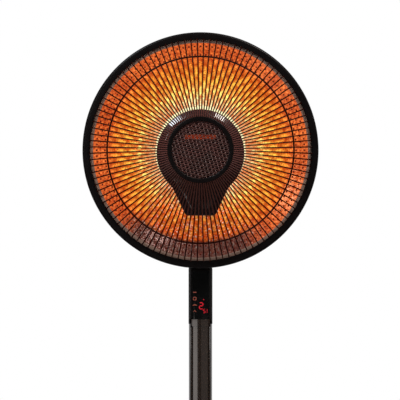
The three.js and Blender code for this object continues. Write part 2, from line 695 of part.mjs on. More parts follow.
/** The spring clip that holds the top of the lamp's loop off the dish. */
function lampClip() {
  const { half, bore, wall, strip } = CLIP;
  const eyeRadius = LAMP_TUBE + bore;
  const loop = new THREE.Shape().absarc(lampY, LAMP_RADIUS, eyeRadius + wall, 0, 2 * Math.PI);
  const eye = new THREE.Shape().absarc(lampY, LAMP_RADIUS, eyeRadius, 0, 2 * Math.PI);
  const tail = box(-half, half, lampY + LAMP_TUBE, apexY, LAMP_RADIUS - strip, LAMP_RADIUS + strip);
  return carve(span(loop, -half, half, 7), {
    join: [tail],
    cut: [span(eye, -half - 1, half + 1, 7), behindDish()],
  });
}

/** The keyhole outline of the shield, taken in by inset. */
function shieldOutline(inset) {
  const radius = SHIELD_RADIUS - inset;
  const foot = -SHIELD_REACH + inset;
  const neck = SHIELD_NECK - inset;
  const centre = -SHIELD_DROP;
  const joint = THREE.MathUtils.degToRad(SHIELD_JOINT.angle);
  const onCircle = (angle) => [radius * Math.cos(angle), centre + radius * Math.sin(angle)];
  const [jx, jz] = onCircle(joint);
  const { soft } = SHIELD_JOINT; // share of the neck's side that the fillet takes
  const { corner, lean } = SHIELD_FOOT;
  const shape = new THREE.Shape();
  shape.moveTo(-neck + corner, foot).lineTo(neck - corner, foot);
  shape.quadraticCurveTo(neck, foot, neck + lean, foot + corner);
  shape.lineTo(jx + (neck - jx) * soft, jz + (foot - jz) * soft);
  const bend = joint + SHIELD_JOINT.bend;
  shape.quadraticCurveTo(jx, jz, ...onCircle(bend));
  shape.absarc(0, centre, radius, bend, Math.PI - bend);
  shape.quadraticCurveTo(-jx, jz, -jx - (neck - jx) * soft, jz + (foot - jz) * soft);
  shape.lineTo(-neck - lean, foot + corner);
  shape.quadraticCurveTo(-neck, foot, -neck + corner, foot);
  return shape;
}

/** The pressed shield in front of the lamp: a keyhole tray with a glow slot. */
function lampShield() {
  const { width, height, rise, corner } = SHIELD_SLOT;
  const tray = push(shieldOutline(0), shieldFrontY, SHIELD_RIM, 8);
  const hollow = push(shieldOutline(SHIELD_SHEET), shieldFrontY + SHIELD_SHEET, SHIELD_RIM, 8);
  const slot = roundedRectangle(-width / 2, width / 2, rise - height / 2, rise + height / 2, corner);
  return carve(tray, { cut: [hollow, push(slot, shieldFrontY - GAP, SHIELD_RIM, 2)] });
}

/** One post from the dish to the back of the shield. */
function shieldPost(x, z) {
  const front = shieldFrontY + SHIELD_SHEET + GAP;
  const post = turn(bar(POST.radius, front, apexY), 8).translate(x, 0, z);
  return carve(post, { cut: [behindDish()] });
}

/** The thermal cut-out that sits on the dish's back. */
function thermalCutoff() {
  const { radius, length, tipRadius, tip, sunk } = CUTOFF;
  const z = mirrorRadius * CUTOFF.place;
  const front = dishY(z) - sunk;
  const profile = [
    [0, front],
    [radius, front],
    [radius, front + length],
    [tipRadius, front + length],
    [tipRadius, front + length + tip],
    [0, front + length + tip],
  ];
  return carve(turn(profile, SEGMENTS.nut).translate(0, 0, z), { cut: [beforeDishBack()] });
}

// ---------------------------------------------------------------- column

/** The control housing's outline, taken in by inset. */
const housingOutline = (inset) =>
  roundedRectangle(
    -housingWidth / 2 + inset,
    housingWidth / 2 - inset,
    -housingDepth / 2 + inset,
    housingDepth / 2 - inset,
    HOUSING.corner - inset,
  );

/** The housing's outer form, taken in by inset, with a rounded shoulder at the top. */
function housingForm(inset, bottom) {
  const shoulder = HOUSING.shoulder;
  const body = new THREE.ExtrudeGeometry(housingOutline(inset + shoulder), {
    depth: HOUSING.height,
    bevelThickness: shoulder,
    bevelSize: shoulder,
    bevelSegments: 2,
    curveSegments: 2,
  }).translate(0, 0, housingTopZ - inset - shoulder - HOUSING.height);
  return solid(body).subtract(solid(box(-BEYOND, BEYOND, -BEYOND, BEYOND, bottom - BEYOND, bottom)));
}

const windowOutline = (grow) =>
  roundedRectangle(
    -windowHalf - grow,
    windowHalf + grow,
    housingBottomZ + WINDOW.foot - grow,
    housingTopZ - WINDOW.top + grow,
    WINDOW.corner,
  );

const windowPrism = (grow) =>
  solid(push(windowOutline(grow), -housingDepth / 2 - POLE_FRONT.crown, WINDOW.reach, 3));

/** The hollow housing before it is split, with its tongue over the pole's front. */
function housingBody() {
  const sides = solid(box(-BEYOND, BEYOND, TONGUE.back, BEYOND, 0, poleTopZ))
    .add(solid(box(tongueHalf, BEYOND, -BEYOND, BEYOND, 0, poleTopZ)))
    .add(solid(box(-BEYOND, -tongueHalf, -BEYOND, BEYOND, 0, poleTopZ)));
  return housingForm(0, housingBottomZ)
    .subtract(housingForm(HOUSING.wall, 0))
    .subtract(sides);
}

/** The front half of the housing, with a recess and an aperture for the window. */
function housingFront() {
  const recess = windowPrism(GAP).subtract(housingForm(WINDOW.sheet + GAP, 0));
  const { half, foot, top } = APERTURE;
  const aperture = box(-half, half, -housingDepth, 0, housingBottomZ + foot, housingTopZ - top);
  const body = housingBody()
    .subtract(solid(box(-BEYOND, BEYOND, -GAP / 2, BEYOND, 0, TOTAL_HEIGHT)))
    .subtract(recess)
    .subtract(solid(aperture));
  return surface(body);
}

/** The rear half of the housing, with an opening for the power switch and two screw holes. */
function housingRear() {
  const { half, halfHeight, wall } = ROCKER_BOX;
  const wide = half + wall + GAP;
  const high = halfHeight + wall + GAP;
  let body = housingBody()
    .subtract(solid(box(-BEYOND, BEYOND, -BEYOND, GAP / 2, 0, TOTAL_HEIGHT)))
    .subtract(solid(box(-wide, wide, housingDepth / 4, BEYOND, rockerZ - high, rockerZ + high)));
  const hole = bar(HOUSING_SCREW.shank + GAP, housingDepth / 4, BEYOND);
  for (const z of housingScrewZ) {
    body = body.subtract(solid(turn(hole, 8).translate(0, 0, z)));
  }
  return surface(body);
}

/** The glossy window, which follows the housing's front. */
const displayWindow = () =>
  surface(windowPrism(0).intersect(housingForm(0, 0)).subtract(housingForm(WINDOW.sheet, 0)));

/** The pole's outline: a crowned front strip between two grooves, and a rounded back. */
function poleOutline() {
  const { width, depth, corner, groove } = POLE;
  const w = width / 2;
  const d = depth / 2;
  const grooveAt = w - POLE.grooveInset;
  const { crown, shoulder, side, sideBack, lip } = POLE_FRONT;
  const edge = -d + crown;
  const shape = new THREE.Shape();
  shape.moveTo(-grooveAt + groove / 2, edge);
  shape.quadraticCurveTo(0, -d - crown, grooveAt - groove / 2, edge);
  shape.lineTo(grooveAt, edge + groove).lineTo(grooveAt + groove / 2, edge + lip);
  shape.quadraticCurveTo(w - side, -d + sideBack, w, -d + corner + shoulder);
  shape.absarc(w - corner, d - corner, corner, 0, Math.PI / 2);
  shape.absarc(corner - w, d - corner, corner, Math.PI / 2, Math.PI);
  shape.lineTo(-w, -d + corner + shoulder);
  shape.quadraticCurveTo(side - w, -d + sideBack, -grooveAt - groove / 2, edge + lip);
  shape.lineTo(-grooveAt, edge + groove);
  return shape;
}

/** The pole's hollow, taken in by inset. */
const poleHollow = (inset) =>
  roundedRectangle(
    -POLE.width / 2 + POLE.wall + inset,
    POLE.width / 2 - POLE.wall - inset,
    -POLE.depth / 2 + POLE.wall + POLE_FRONT.wall + inset,
    POLE.depth / 2 - POLE.wall - inset,
    POLE.corner - POLE.wall - inset,
  );

/** A length of the pole's profile. */
function pole(from, to) {
  const shape = poleOutline();
  shape.holes.push(new THREE.Path(poleHollow(0).getPoints(2)));
  return raise(shape, from, to, 3);
}

/** The upper pole, notched at the front for the housing's tongue. */
function upperPole() {
  const half = tongueHalf + GAP;
  const bottom = housingBottomZ - GAP;
  const notch = box(-half, half, -BEYOND, TONGUE.back + GAP, bottom, bottom + BEYOND);
  return carve(pole(poleSplitZ + GAP, poleTopZ - GAP), { cut: [notch] });
}

/** The outline of a sleeve that fits the pole and the housing alike, taken in by inset. */
function sleeveOutline(inset) {
  const half = Math.min(POLE.width / 2 - POLE.wall, housingWidth / 2 - HOUSING.wall) - inset;
  const back = Math.min(POLE.depth / 2 - POLE.wall, housingDepth / 2 - HOUSING.wall) - inset;
  const front = -POLE.depth / 2 + POLE.wall + POLE_FRONT.wall + inset;
  return roundedRectangle(-half, half, front, back, POLE.corner - POLE.wall - inset);
}

/** A sleeve inside the column that joins two lengths end to end. */
function joiner(from, to) {
  const shape = sleeveOutline(GAP);
  shape.holes.push(new THREE.Path(sleeveOutline(GAP + JOINER.wall).getPoints(2)));
  return raise(shape, from, to, 2);
}

/** The switch's bezel and box, open to the rear. */
function rockerFrame() {
  const { half, halfHeight, wall, bezel, sheet, front, floor } = ROCKER_BOX;
  const y = housingDepth / 2 + GAP;
  const block = (grow, y0, y1) =>
    box(-half - grow, half + grow, y0, y1, rockerZ - halfHeight - grow, rockerZ + halfHeight + grow);
  return carve(block(bezel, y, y + sheet), {
    join: [block(wall, front, y + sheet / 2)],
    cut: [block(0, floor, BEYOND)],
  });
}

/** The rocker, pressed at its upper end. */
function powerRocker() {
  const { half, back, lean, tail, tailHalf } = ROCKER;
  const { edge, high, dip } = ROCKER_FACE;
  const shape = new THREE.Shape();
  shape.moveTo(-tail, -tailHalf).lineTo(edge, -high).lineTo(dip, 0);
  shape.lineTo(edge, high).lineTo(-tail, tailHalf);
  const tipped = span(shape, -half, half).rotateX(THREE.MathUtils.degToRad(lean));
  return tipped.translate(0, housingDepth / 2 - back, rockerZ);
}

/** The hinge bracket on the housing's top: a foot and two round-topped ears. */
function tiltClevis() {
  const foot = housingTopZ + GAP;
  const { ear, earSheet, bolt, y } = TILT;
  const { height, overlap } = CLEVIS_FOOT;
  const shape = new THREE.Shape();
  shape.moveTo(y - ear, foot).lineTo(y + ear, foot).lineTo(y + ear, tiltZ);
  shape.absarc(y, tiltZ, ear, 0, Math.PI);
  const ears = [-earOuter, earInner].map((x) => span(shape, x, x + earSheet, 6));
  const bore = turnAcross(bar(bolt + GAP, -BEYOND, BEYOND), SEGMENTS.nut).translate(0, y, tiltZ);
  const half = earInner + overlap;
  const plate = box(-half, half, y - ear, y + ear - overlap, foot, foot + height);
  return carve(plate, { join: ears, cut: [bore] });
}

/** The hinge bolt, with its head on the left ear. */
function tiltBolt() {
  const seat = -earOuter - GAP;
  const profile = [
    [0, seat - BOLT.headHeight],
    [BOLT.head, seat - BOLT.headHeight],
    [BOLT.head, seat],
    [TILT.bolt, seat],
    [TILT.bolt, earOuter + BOLT.past],
    [0, earOuter + BOLT.past],
  ];
  return turnAcross(profile, SEGMENTS.nut).translate(0, TILT.y, tiltZ);
}

const tiltNut = () =>
  hexNut(TILT.bolt + GAP, BOLT.nut, earOuter + GAP, earOuter + GAP + BOLT.nutHeight)
    .rotateY(Math.PI / 2)
    .translate(0, TILT.y, tiltZ);

// ---------------------------------------------------------------- base

/** The domed base cover with its collar, four screw bosses and the gland's hole. */
function baseCover() {
  const rise = COLLAR.top;
  const r = BASE_RADIUS;
  const outer = [
    [r, PLATE.bottom - 1],
    [r, BASE_DOME.side],
    [r - BASE_DOME.edge, BASE_DOME.edgeTop],
    [r * BASE_DOME.middle, BASE_DOME.middleTop],
    [COLLAR.radius, BASE_DOME.collarFoot],
    [COLLAR.radius, rise],
    [COLLAR.hole, rise],
  ];
  const inner = offsetLine(outer.slice(0, -1), BASE_WALL);
  inner[inner.length - 1] = [COLLAR.radius - BASE_WALL, rise - BASE_WALL];
  const profile = [...outer, [COLLAR.hole, rise - BASE_WALL], ...inner.reverse()];
  const bosses = screwPlaces().map(([x, y]) =>
    turnUp(bar(BOSS.radius, plateTopZ + GAP, BOSS.top), SEGMENTS.screw).translate(x, y, 0),
  );
  const holes = screwPlaces().map(([x, y]) =>
    turnUp(bar(BOSS.bore, 0, BOSS.boreTop), SEGMENTS.screw).translate(x, y, 0),
  );
  const glandBar = bar(GLAND.radius + GAP, r - GLAND_DEPTH.whole - GLAND_DEPTH.mouth, r + GLAND_DEPTH.neck);
  const glandHole = turn(glandBar, SEGMENTS.nut).translate(0, 0, GLAND.z);
  return carve(turnUp(profile, SEGMENTS.base), { join: bosses, cut: [...holes, glandHole] });
}

/** Where the four base screws stand. */
function screwPlaces() {
  const radius = BASE_RADIUS - BASE_WALL - BASE_SCREW.inset;
  return [0, 1, 2, 3].map((i) => {
    const angle = (i * Math.PI) / 2 + BASE_SCREW.turn;
    return [radius * Math.cos(angle), radius * Math.sin(angle)];
  });
}

/** The steel bottom plate. */
function basePlate() {
  const rim = BASE_RADIUS - BASE_WALL - PLATE.play;
  const plate = turnUp(bar(rim, PLATE.bottom, plateTopZ), SEGMENTS.base);
  const holes = screwPlaces().map(([x, y]) =>
    turnUp(bar(PLATE.screwHole, 0, BOSS.boreTop), SEGMENTS.screw).translate(x, y, 0),
  );
  const plungerBar = bar(TIP.stem + PLATE.plungerPlay, 0, BOSS.boreTop);
  const plungerHole = turnUp(plungerBar, SEGMENTS.nut).translate(0, TIP.y, 0);
  return carve(plate, { cut: [...holes, plungerHole] });
}

/** A rubber foot, chamfered round its tread. */
function footPad(index) {
  const angle = (index + 0.5) * (Math.PI / 2);
  const reach = BASE_RADIUS - FOOT.inset;
  const profile = [
    [0, 0],
    [FOOT.radius - FOOT.chamfer, 0],
    [FOOT.radius, FOOT.chamfer],
    [FOOT.radius, FOOT.height],
    [0, FOOT.height],
  ];
  const foot = turnUp(profile, SEGMENTS.nut);
  return foot.translate(reach * Math.cos(angle), reach * Math.sin(angle), 0);
}

/** The hollow post that the column turns on. */
const pivotPost = () =>
  turnUp(
    [
      [PIVOT.bore, plateTopZ + GAP],
      [PIVOT.flange, plateTopZ + GAP],
      [PIVOT.flange, plateTopZ + PIVOT_FLANGE.edge],
      [PIVOT.stem, plateTopZ + PIVOT_FLANGE.root],
      [PIVOT.stem, PIVOT.shoulder],
      [PIVOT.journal, PIVOT.shoulder],
      [PIVOT.journal, PIVOT.top],
      [PIVOT.bore, PIVOT.top],
    ],
    SEGMENTS.small,
  );

/** The turntable under the column, with a skirt for the sector and a plug for the pole. */
function columnFoot() {
  const sectorTop = GEAR.bottom + GEAR.width + GAP;
  const skirt = PIVOT.stem + TURNTABLE.skirt;
  const skirtOuter = skirt + TURNTABLE.skirtWall;
  const neck = COLLAR.hole - TURNTABLE_PLUG.collarPlay;
  const bore = PIVOT.journal + PIVOT.play;
  const top = turntableZ + TURNTABLE.height;
  const disc = turnUp(
    [
      [skirt, GEAR.bottom],
      [skirtOuter, GEAR.bottom],
      [skirtOuter, sectorTop],
      [neck, sectorTop],
      [neck, turntableZ],
      [TURNTABLE.radius, turntableZ],
      [TURNTABLE.radius, top - TURNTABLE.edge],
      [TURNTABLE.radius - TURNTABLE.edge, top],
      [bore, top],
      [bore, washerTop + GAP],
      [skirt, washerTop + GAP],
    ],
    SEGMENTS.small,
  );
  const plug = poleHollow(GAP);
  plug.holes.push(roundHole(0, 0, PIVOT.journal + TURNTABLE_PLUG.well, SEGMENTS.nut));
  const raised = raise(plug, top - TURNTABLE_PLUG.overlap, top + TURNTABLE.plug, 2);
  return carve(disc, { join: [raised] });
}

/** One side of a gear's teeth, as points at the root and the tip, from the middle of a tooth. */
function toothFlank(teeth) {
  const pitch = (GEAR.module * teeth) / 2;
  const base = pitch * Math.cos(TOOTH.pressure);
  const involute = (r) => {
    const roll = Math.sqrt(Math.max(0, (r / base) ** 2 - 1));
    return roll - Math.atan(roll);
  };
  const halfTooth = ((Math.PI * GEAR.module) / 2 - GEAR.slack / 2) / 2 / pitch;
  const angleAt = (r) => halfTooth + involute(pitch) - involute(Math.max(r, base));
  const rootR = pitch - GEAR.module * TOOTH.root;
  const tipR = pitch + GEAR.module * TOOTH.tip;
  return { rootR, tipR, root: angleAt(rootR), tip: angleAt(tipR) };
}

/** The outline points of a run of teeth, the middle one centred on an angle. */
function teethPoints(teeth, count, centre) {
  const { rootR, tipR, root: rootAngle, tip: tipAngle } = toothFlank(teeth);
  const at = (r, angle) => point(r * Math.cos(angle), r * Math.sin(angle));
  const points = [];
  for (let i = 0; i < count; i++) {
    const middle = centre + ((i - (count - 1) / 2) * 2 * Math.PI) / teeth;
    points.push(at(rootR, middle - rootAngle), at(tipR, middle - tipAngle));
    points.push(at(tipR, middle + tipAngle), at(rootR, middle + rootAngle));
  }
  return points;
}

/** The toothed sector, its middle gap facing the pinion at the back. */
function sectorGear() {
  const step = (2 * Math.PI) / GEAR.sector;
  const teeth = teethPoints(GEAR.sector, GEAR.sectorTeeth, Math.PI / 2 + step / 2);
  const bore = PIVOT.stem + TURNTABLE.skirt + TURNTABLE.skirtWall + GAP;
  const hub = bore + SECTOR_HUB;
  const shape = new THREE.Shape(teeth);
  const first = teeth[0].angle();
  shape.absarc(0, 0, hub, Math.PI, 2 * Math.PI + first * 0.5);
  shape.holes.push(new THREE.Path().absarc(0, 0, bore, 0, 2 * Math.PI, true));
  return raise(shape, GEAR.bottom, GEAR.bottom + GEAR.width, 10);
}

/** The pinion with its hub, one tooth facing the sector. */
function swingPinion() {
  const teeth = teethPoints(GEAR.pinion, GEAR.pinion, Math.PI / GEAR.pinion - Math.PI / 2);
  const gear = raise(new THREE.Shape(teeth), GEAR.bottom, GEAR.bottom + GEAR.width);
  const { radius, overlap } = PINION_HUB;
  const hub = turnUp(bar(radius, motorTop + GAP, GEAR.bottom + overlap), SEGMENTS.cap);
  return carve(gear, { join: [hub] }).translate(0, gearSpacing, 0);
}

/** The flat synchronous motor, with its flange on the plate. */
function swingMotor() {
  const flange = MOTOR.radius + MOTOR.flange;
  const profile = [
    [0, plateTopZ + GAP],
    [flange, plateTopZ + GAP],
    [flange, plateTopZ + MOTOR.flangeSheet],
    [MOTOR.radius, plateTopZ + MOTOR.flangeSheet],
    [MOTOR.radius, motorTop],
    [0, motorTop],
  ];
  return turnUp(profile, SEGMENTS.small).translate(0, gearSpacing + MOTOR.offset, 0);
}

/** The tip-over switch's body, whose well takes the plunger. */
function tipSwitch() {
  const { half, halfDepth, top, well, wellRoom } = TIP_BOX;
  const body = box(-half, half, TIP.y - halfDepth, TIP.y + halfDepth, plateTopZ + GAP, top);
  const hollow = turnUp(bar(well, 0, TIP.top + wellRoom), SEGMENTS.nut).translate(0, TIP.y, 0);
  return carve(body, { cut: [hollow] });
}

/** The plunger that the floor holds up while the heater stands. */
function tipPlunger() {
  const stop = plateTopZ + TIP.travel + GAP;
  const profile = [
    [0, 0],
    [TIP.foot - TIP.edge, 0],
    [TIP.foot, TIP.edge],
    [TIP.foot, TIP.footHeight],
    [TIP.stem, TIP.footHeight],
    [TIP.stem, stop],
    [TIP.head, stop],
    [TIP.head, TIP.top],
    [0, TIP.top],
  ];
  return turnUp(profile, SEGMENTS.nut).translate(0, TIP.y, 0);
}

/** The cord's gland in the back of the base, flush with the skirt. */
function cordGland() {
  const { bore, tail, radius, lip } = GLAND;
  const inner = BASE_RADIUS - GLAND_DEPTH.whole;
  const outer = BASE_RADIUS - GLAND_DEPTH.sunk;
  const profile = [
    [bore, inner],
    [tail, inner],
    [radius, BASE_RADIUS - GLAND_DEPTH.neck],
    [radius, outer],
    [lip, outer],
    [bore, BASE_RADIUS - GLAND_DEPTH.mouth],
  ];
  return turn(profile, SEGMENTS.nut).translate(0, 0, GLAND.z);
}

// ---------------------------------------------------------------- assembly

function assembleBase() {
  place(root, "base_cover", baseCover(), FINISH.blackPlastic);
  place(root, "base_plate", basePlate(), FINISH.steel);
  const ballast = sleeve(ballastInner, ballastOuter, plateTopZ + GAP, plateTopZ + GAP + BALLAST.height);
  place(root, "ballast_ring", turnUp(ballast, SEGMENTS.ballast), FINISH.castIron);
  for (let i = 0; i < 4; i++) place(root, `foot_pad_${i + 1}`, footPad(i), FINISH.rubber);
  screwPlaces().forEach(([x, y], i) => {
    const fastener = screw(BASE_SCREW).translate(x, y, PLATE.bottom - GAP);
    place(root, `base_screw_${i + 1}`, fastener, FINISH.steel);
  });
  place(root, "cord_gland", cordGland(), FINISH.rubber);
  place(root, "pivot_post", pivotPost(), FINISH.steel);
  const washer = sleeve(PIVOT.journal + PIVOT.play, PIVOT.stem, PIVOT.shoulder + GAP, washerTop);
  place(root, "thrust_washer", turnUp(washer, SEGMENTS.small), FINISH.nylon);
  place(root, "swing_motor", swingMotor(), FINISH.steel);
  place(root, "swing_pinion", swingPinion(), FINISH.nylon);
  place(root, "tip_switch", tipSwitch(), FINISH.nylon);
  place(root, "tip_plunger", tipPlunger(), FINISH.blackPlastic);
}

/** The board behind the window, with the display and the remote control's eye on its front. */
function placeElectronics() {
  const backing = -housingDepth / 2 + WINDOW.sheet + GAP;
  const facing = backing + BEHIND_WINDOW.depth;
  const boardY = facing + GAP;
  const boardTop = housingTopZ - BOARD.top;
  const board = box(-BOARD.half, BOARD.half, boardY, boardY + BOARD.sheet, poleTopZ + BOARD.foot, boardTop);
  place(root, "control_board", board, FINISH.board);
  const { half, halfHeight } = DIGITS;
  const digits = box(-half, half, backing, facing, digitsZ - halfHeight, digitsZ + halfHeight);
  place(root, "digit_display", digits, FINISH.digits);
  const { below, above } = RECEIVER;
  const eye = box(-RECEIVER.half, RECEIVER.half, backing, facing, receiverZ - below, receiverZ + above);
  place(root, "signal_receiver", eye, FINISH.glossBlack);
}

function assembleColumn() {
  place(root, "column_foot", columnFoot(), FINISH.blackPlastic);
  place(root, "sector_gear", sectorGear(), FINISH.nylon);
  const discTop = turntableZ + TURNTABLE.height;
  const nutCorner = PIVOT.journal + PIVOT_NUT.corner;
  const nut = hexNut(PIVOT.journal + 2 * GAP, nutCorner, discTop + GAP, discTop + PIVOT_NUT.height);
  place(root, "retaining_nut", nut, FINISH.steel);
  place(root, "lower_pole", pole(poleBottomZ, poleSplitZ), FINISH.poleMetal);
  const joint = joiner(poleSplitZ - JOINER.reach, poleSplitZ + JOINER.reach);
  place(root, "pole_joiner", joint, FINISH.steel);
  place(root, "upper_pole", upperPole(), FINISH.poleMetal);
  const collar = joiner(poleTopZ - JOINER.reach, poleTopZ + JOINER.head);
  place(root, "housing_joiner", collar, FINISH.steel);
  place(root, "housing_front", housingFront(), FINISH.blackPlastic);
  place(root, "housing_rear", housingRear(), FINISH.blackPlastic);
  place(root, "display_window", displayWindow(), FINISH.glossBlack);
  placeElectronics();
  place(root, "rocker_frame", rockerFrame(), FINISH.blackPlastic);
  place(root, "power_rocker", powerRocker(), FINISH.blackPlastic);
  housingScrewZ.forEach((z, i) => {
    const fastener = screw(HOUSING_SCREW).rotateX(Math.PI / 2);
    fastener.translate(0, housingDepth / 2 + GAP, z);
    place(root, `housing_screw_${i + 1}`, fastener, FINISH.steel);
  });
  place(root, "tilt_clevis", tiltClevis(), FINISH.steel);
  place(root, "tilt_bolt", tiltBolt(), FINISH.steel);
  place(root, "tilt_nut", tiltNut(), FINISH.steel);
}

function assembleHead() {
  place(headGroup, "front_ring", frontRing(), FINISH.blackPlastic);
  place(headGroup, "wire_guard", wireGuard(), FINISH.enamelWire);
  place(headGroup, "hub_mesh", hubMesh(), FINISH.enamelWire);
  place(headGroup, "reflector", reflector(), FINISH.polishedDish);
  place(headGroup, "rear_shell", rearShell(), FINISH.blackPlastic);
  place(headGroup, "rear_handle", rearHandle(), FINISH.blackPlastic);
  place(headGroup, "lamp_tube", alongOmega(LAMP_TUBE, LAMP_BORE, 4), FINISH.quartz);
  place(headGroup, "lamp_filament", alongOmega(FILAMENT, 0, 2), FINISH.filament);
  place(headGroup, "lamp_cap_left", lampCap(-1), FINISH.ceramic);
  place(headGroup, "lamp_cap_right", lampCap(1), FINISH.ceramic);
  place(headGroup, "lamp_bracket", lampBracket(), FINISH.steel);
  place(headGroup, "lamp_clip", lampClip(), FINISH.steel);
  place(headGroup, "lamp_shield", lampShield(), FINISH.shieldEnamel);
  const posts = [[-POST.inset, -POST.drop], [POST.inset, -POST.drop], [0, -POST.neck]];
  posts.forEach(([x, z], i) => {
    place(headGroup, `shield_post_${i + 1}`, shieldPost(x, z), FINISH.steel);
  });
  place(headGroup, "thermal_cutoff", thermalCutoff(), FINISH.steel);
  const inside = podBackY - SHELL.wall - GAP;
  const { half, depth, low, high } = TERMINALS;
  const terminals = box(-half, half, inside - depth, inside, low, high);
  place(headGroup, "terminal_block", terminals, FINISH.ceramic);
}

assembleBase();
assembleColumn();
assembleHead();

export default root;
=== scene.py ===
"""Looks of a free-standing parabolic heater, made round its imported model.

A dish head behind a radial wire guard tilts on a slim column with a display, and the column
swings over a round weighted base. Lengths are in metres, +Z is up and the heater faces -Y.
"""
import json
import logging
import math
from dataclasses import dataclass
from enum import Enum
from typing import Iterable, Sequence, Union

import bmesh
import bpy
import numpy as np
from mathutils import Matrix, Vector


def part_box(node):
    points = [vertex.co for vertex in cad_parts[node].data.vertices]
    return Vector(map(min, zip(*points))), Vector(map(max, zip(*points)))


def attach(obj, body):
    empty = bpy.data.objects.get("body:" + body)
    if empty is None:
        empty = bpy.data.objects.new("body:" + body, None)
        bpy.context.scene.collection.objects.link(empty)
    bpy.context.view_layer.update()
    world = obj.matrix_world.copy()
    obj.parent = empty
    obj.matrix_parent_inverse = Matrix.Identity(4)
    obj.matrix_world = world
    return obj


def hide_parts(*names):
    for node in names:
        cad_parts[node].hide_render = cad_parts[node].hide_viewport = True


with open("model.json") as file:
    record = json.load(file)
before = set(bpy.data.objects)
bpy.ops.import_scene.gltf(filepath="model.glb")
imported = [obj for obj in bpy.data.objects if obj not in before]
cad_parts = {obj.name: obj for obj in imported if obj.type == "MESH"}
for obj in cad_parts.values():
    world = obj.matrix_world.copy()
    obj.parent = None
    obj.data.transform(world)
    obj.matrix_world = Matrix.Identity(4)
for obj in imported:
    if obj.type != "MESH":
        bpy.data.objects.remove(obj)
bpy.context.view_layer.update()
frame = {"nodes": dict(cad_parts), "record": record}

MM = 0.001
GAP = 0.3 * MM
NODES = frame["nodes"]

log = logging.getLogger("heater")

Line = list[tuple[float, float]]
Ring = list[tuple[float, float, float]]
Colour = tuple[float, float, float]
Socket = bpy.types.NodeSocket
Value = Union[Socket, float, int, tuple, str, bool]
Object = bpy.types.Object
Material = bpy.types.Material


# ---- names and small helpers


class Slot(Enum):
    """The record's material slots."""

    BLACK_PLASTIC = "black_plastic"
    WINDOW_GLOSS = "window_gloss"
    POLE_METAL = "pole_metal"
    GUARD_ENAMEL = "guard_enamel"
    SHIELD_ENAMEL = "shield_enamel"
    DISH_MIRROR = "dish_mirror"
    QUARTZ = "quartz"
    FILAMENT = "filament"
    CERAMIC = "ceramic"
    STEEL = "steel"
    CAST_IRON = "cast_iron"
    RUBBER = "rubber"
    NYLON = "nylon"
    BOARD = "board"
    DIGITS = "digits"


class Body(Enum):
    """The bodies that the joints move."""

    BASE = "base"
    PLUNGER = "plunger"
    COLUMN = "column"
    ROCKER = "rocker"
    HEAD = "head"


class Axis(Enum):
    """The axis that a profile is turned about."""

    X = 0
    Y = 1
    Z = 2

    def points(self, line: Line, angle: float) -> Ring:
        """Places a line of radius and distance along the axis at one angle round it.

        Args:
            line: The points, as radius and distance along the axis.
            angle: The turn about the axis, in radians.

        Returns:
            The points in space, about an axis through the origin.
        """
        c, s = math.cos(angle), math.sin(angle)
        if self is Axis.X:
            return [(a, r * c, r * s) for r, a in line]
        if self is Axis.Y:
            return [(r * c, a, r * s) for r, a in line]
        return [(r * c, r * s, a) for r, a in line]


def srgb(red: int, green: int, blue: int) -> Colour:
    """Turns a display colour, 0 to 255, into the linear colour that shaders take.

    Args:
        red: The red channel.
        green: The green channel.
        blue: The blue channel.

    Returns:
        The linear red, green and blue, 0 to 1.
    """
    def linear(channel: int) -> float:
        """The linear share of one channel."""
        share = channel / 255
        return share / 12.92 if share <= 0.04045 else ((share + 0.055) / 1.055) ** 2.4

    return linear(red), linear(green), linear(blue)


@dataclass(frozen=True)
class Extent:
    """The space that a CAD node takes up at rest."""

    low: Vector
    high: Vector

    @classmethod
    def of(cls, node: str) -> "Extent":
        """Measures a CAD node by its name."""
        return cls(*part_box(node))

    @property
    def middle(self) -> Vector:
        """The point halfway between the corners."""
        return (self.low + self.high) / 2

    @property
    def size(self) -> Vector:
        """The lengths of the sides."""
        return self.high - self.low

    @property
    def radius(self) -> float:
        """Half of the longest side, which is a round node's radius."""
        return max(self.size) / 2


HEAD = Vector((0, 0, Extent.of("front_ring").middle.z))  # the middle of the head


# ---- mesh helpers


def link(name: str, data: Union[bpy.types.Mesh, bpy.types.Curve]) -> Object:
    """Puts a mesh or curve in the scene as an object at the origin.

    Args:
        name: The object's name.
        data: The mesh or curve.

    Returns:
        The object.
    """
    obj = bpy.data.objects.new(name, data)
    bpy.context.scene.collection.objects.link(obj)
    return obj


def close_up(mesh: bpy.types.Mesh, crease: float = 35.0) -> None:
    """Merges a mesh's doubles, turns its faces outwards and shades it smooth between creases.

    Args:
        mesh: The mesh to finish.
        crease: The angle between faces, in degrees, past which an edge stays sharp.
    """
    work = bmesh.new()
    work.from_mesh(mesh)
    bmesh.ops.remove_doubles(work, verts=work.verts, dist=2e-6)
    bmesh.ops.recalc_face_normals(work, faces=work.faces)
    work.to_mesh(mesh)
    work.free()
    mesh.shade_smooth()
    mesh.set_sharp_from_angle(angle=math.radians(crease))


def make(name: str, points: Iterable, faces: Iterable, crease: float = 35.0) -> Object:
    """Makes an object from points and faces.

    Args:
        name: The object's name.
        points: The corners, in place.
        faces: The faces, as indices of their corners.
        crease: The angle past which an edge stays sharp, in degrees.

    Returns:
        The object, at the origin.
    """
    mesh = bpy.data.meshes.new(name)
    mesh.from_pydata([tuple(p) for p in points], [], [tuple(f) for f in faces])
    close_up(mesh, crease)
    return link(name, mesh)


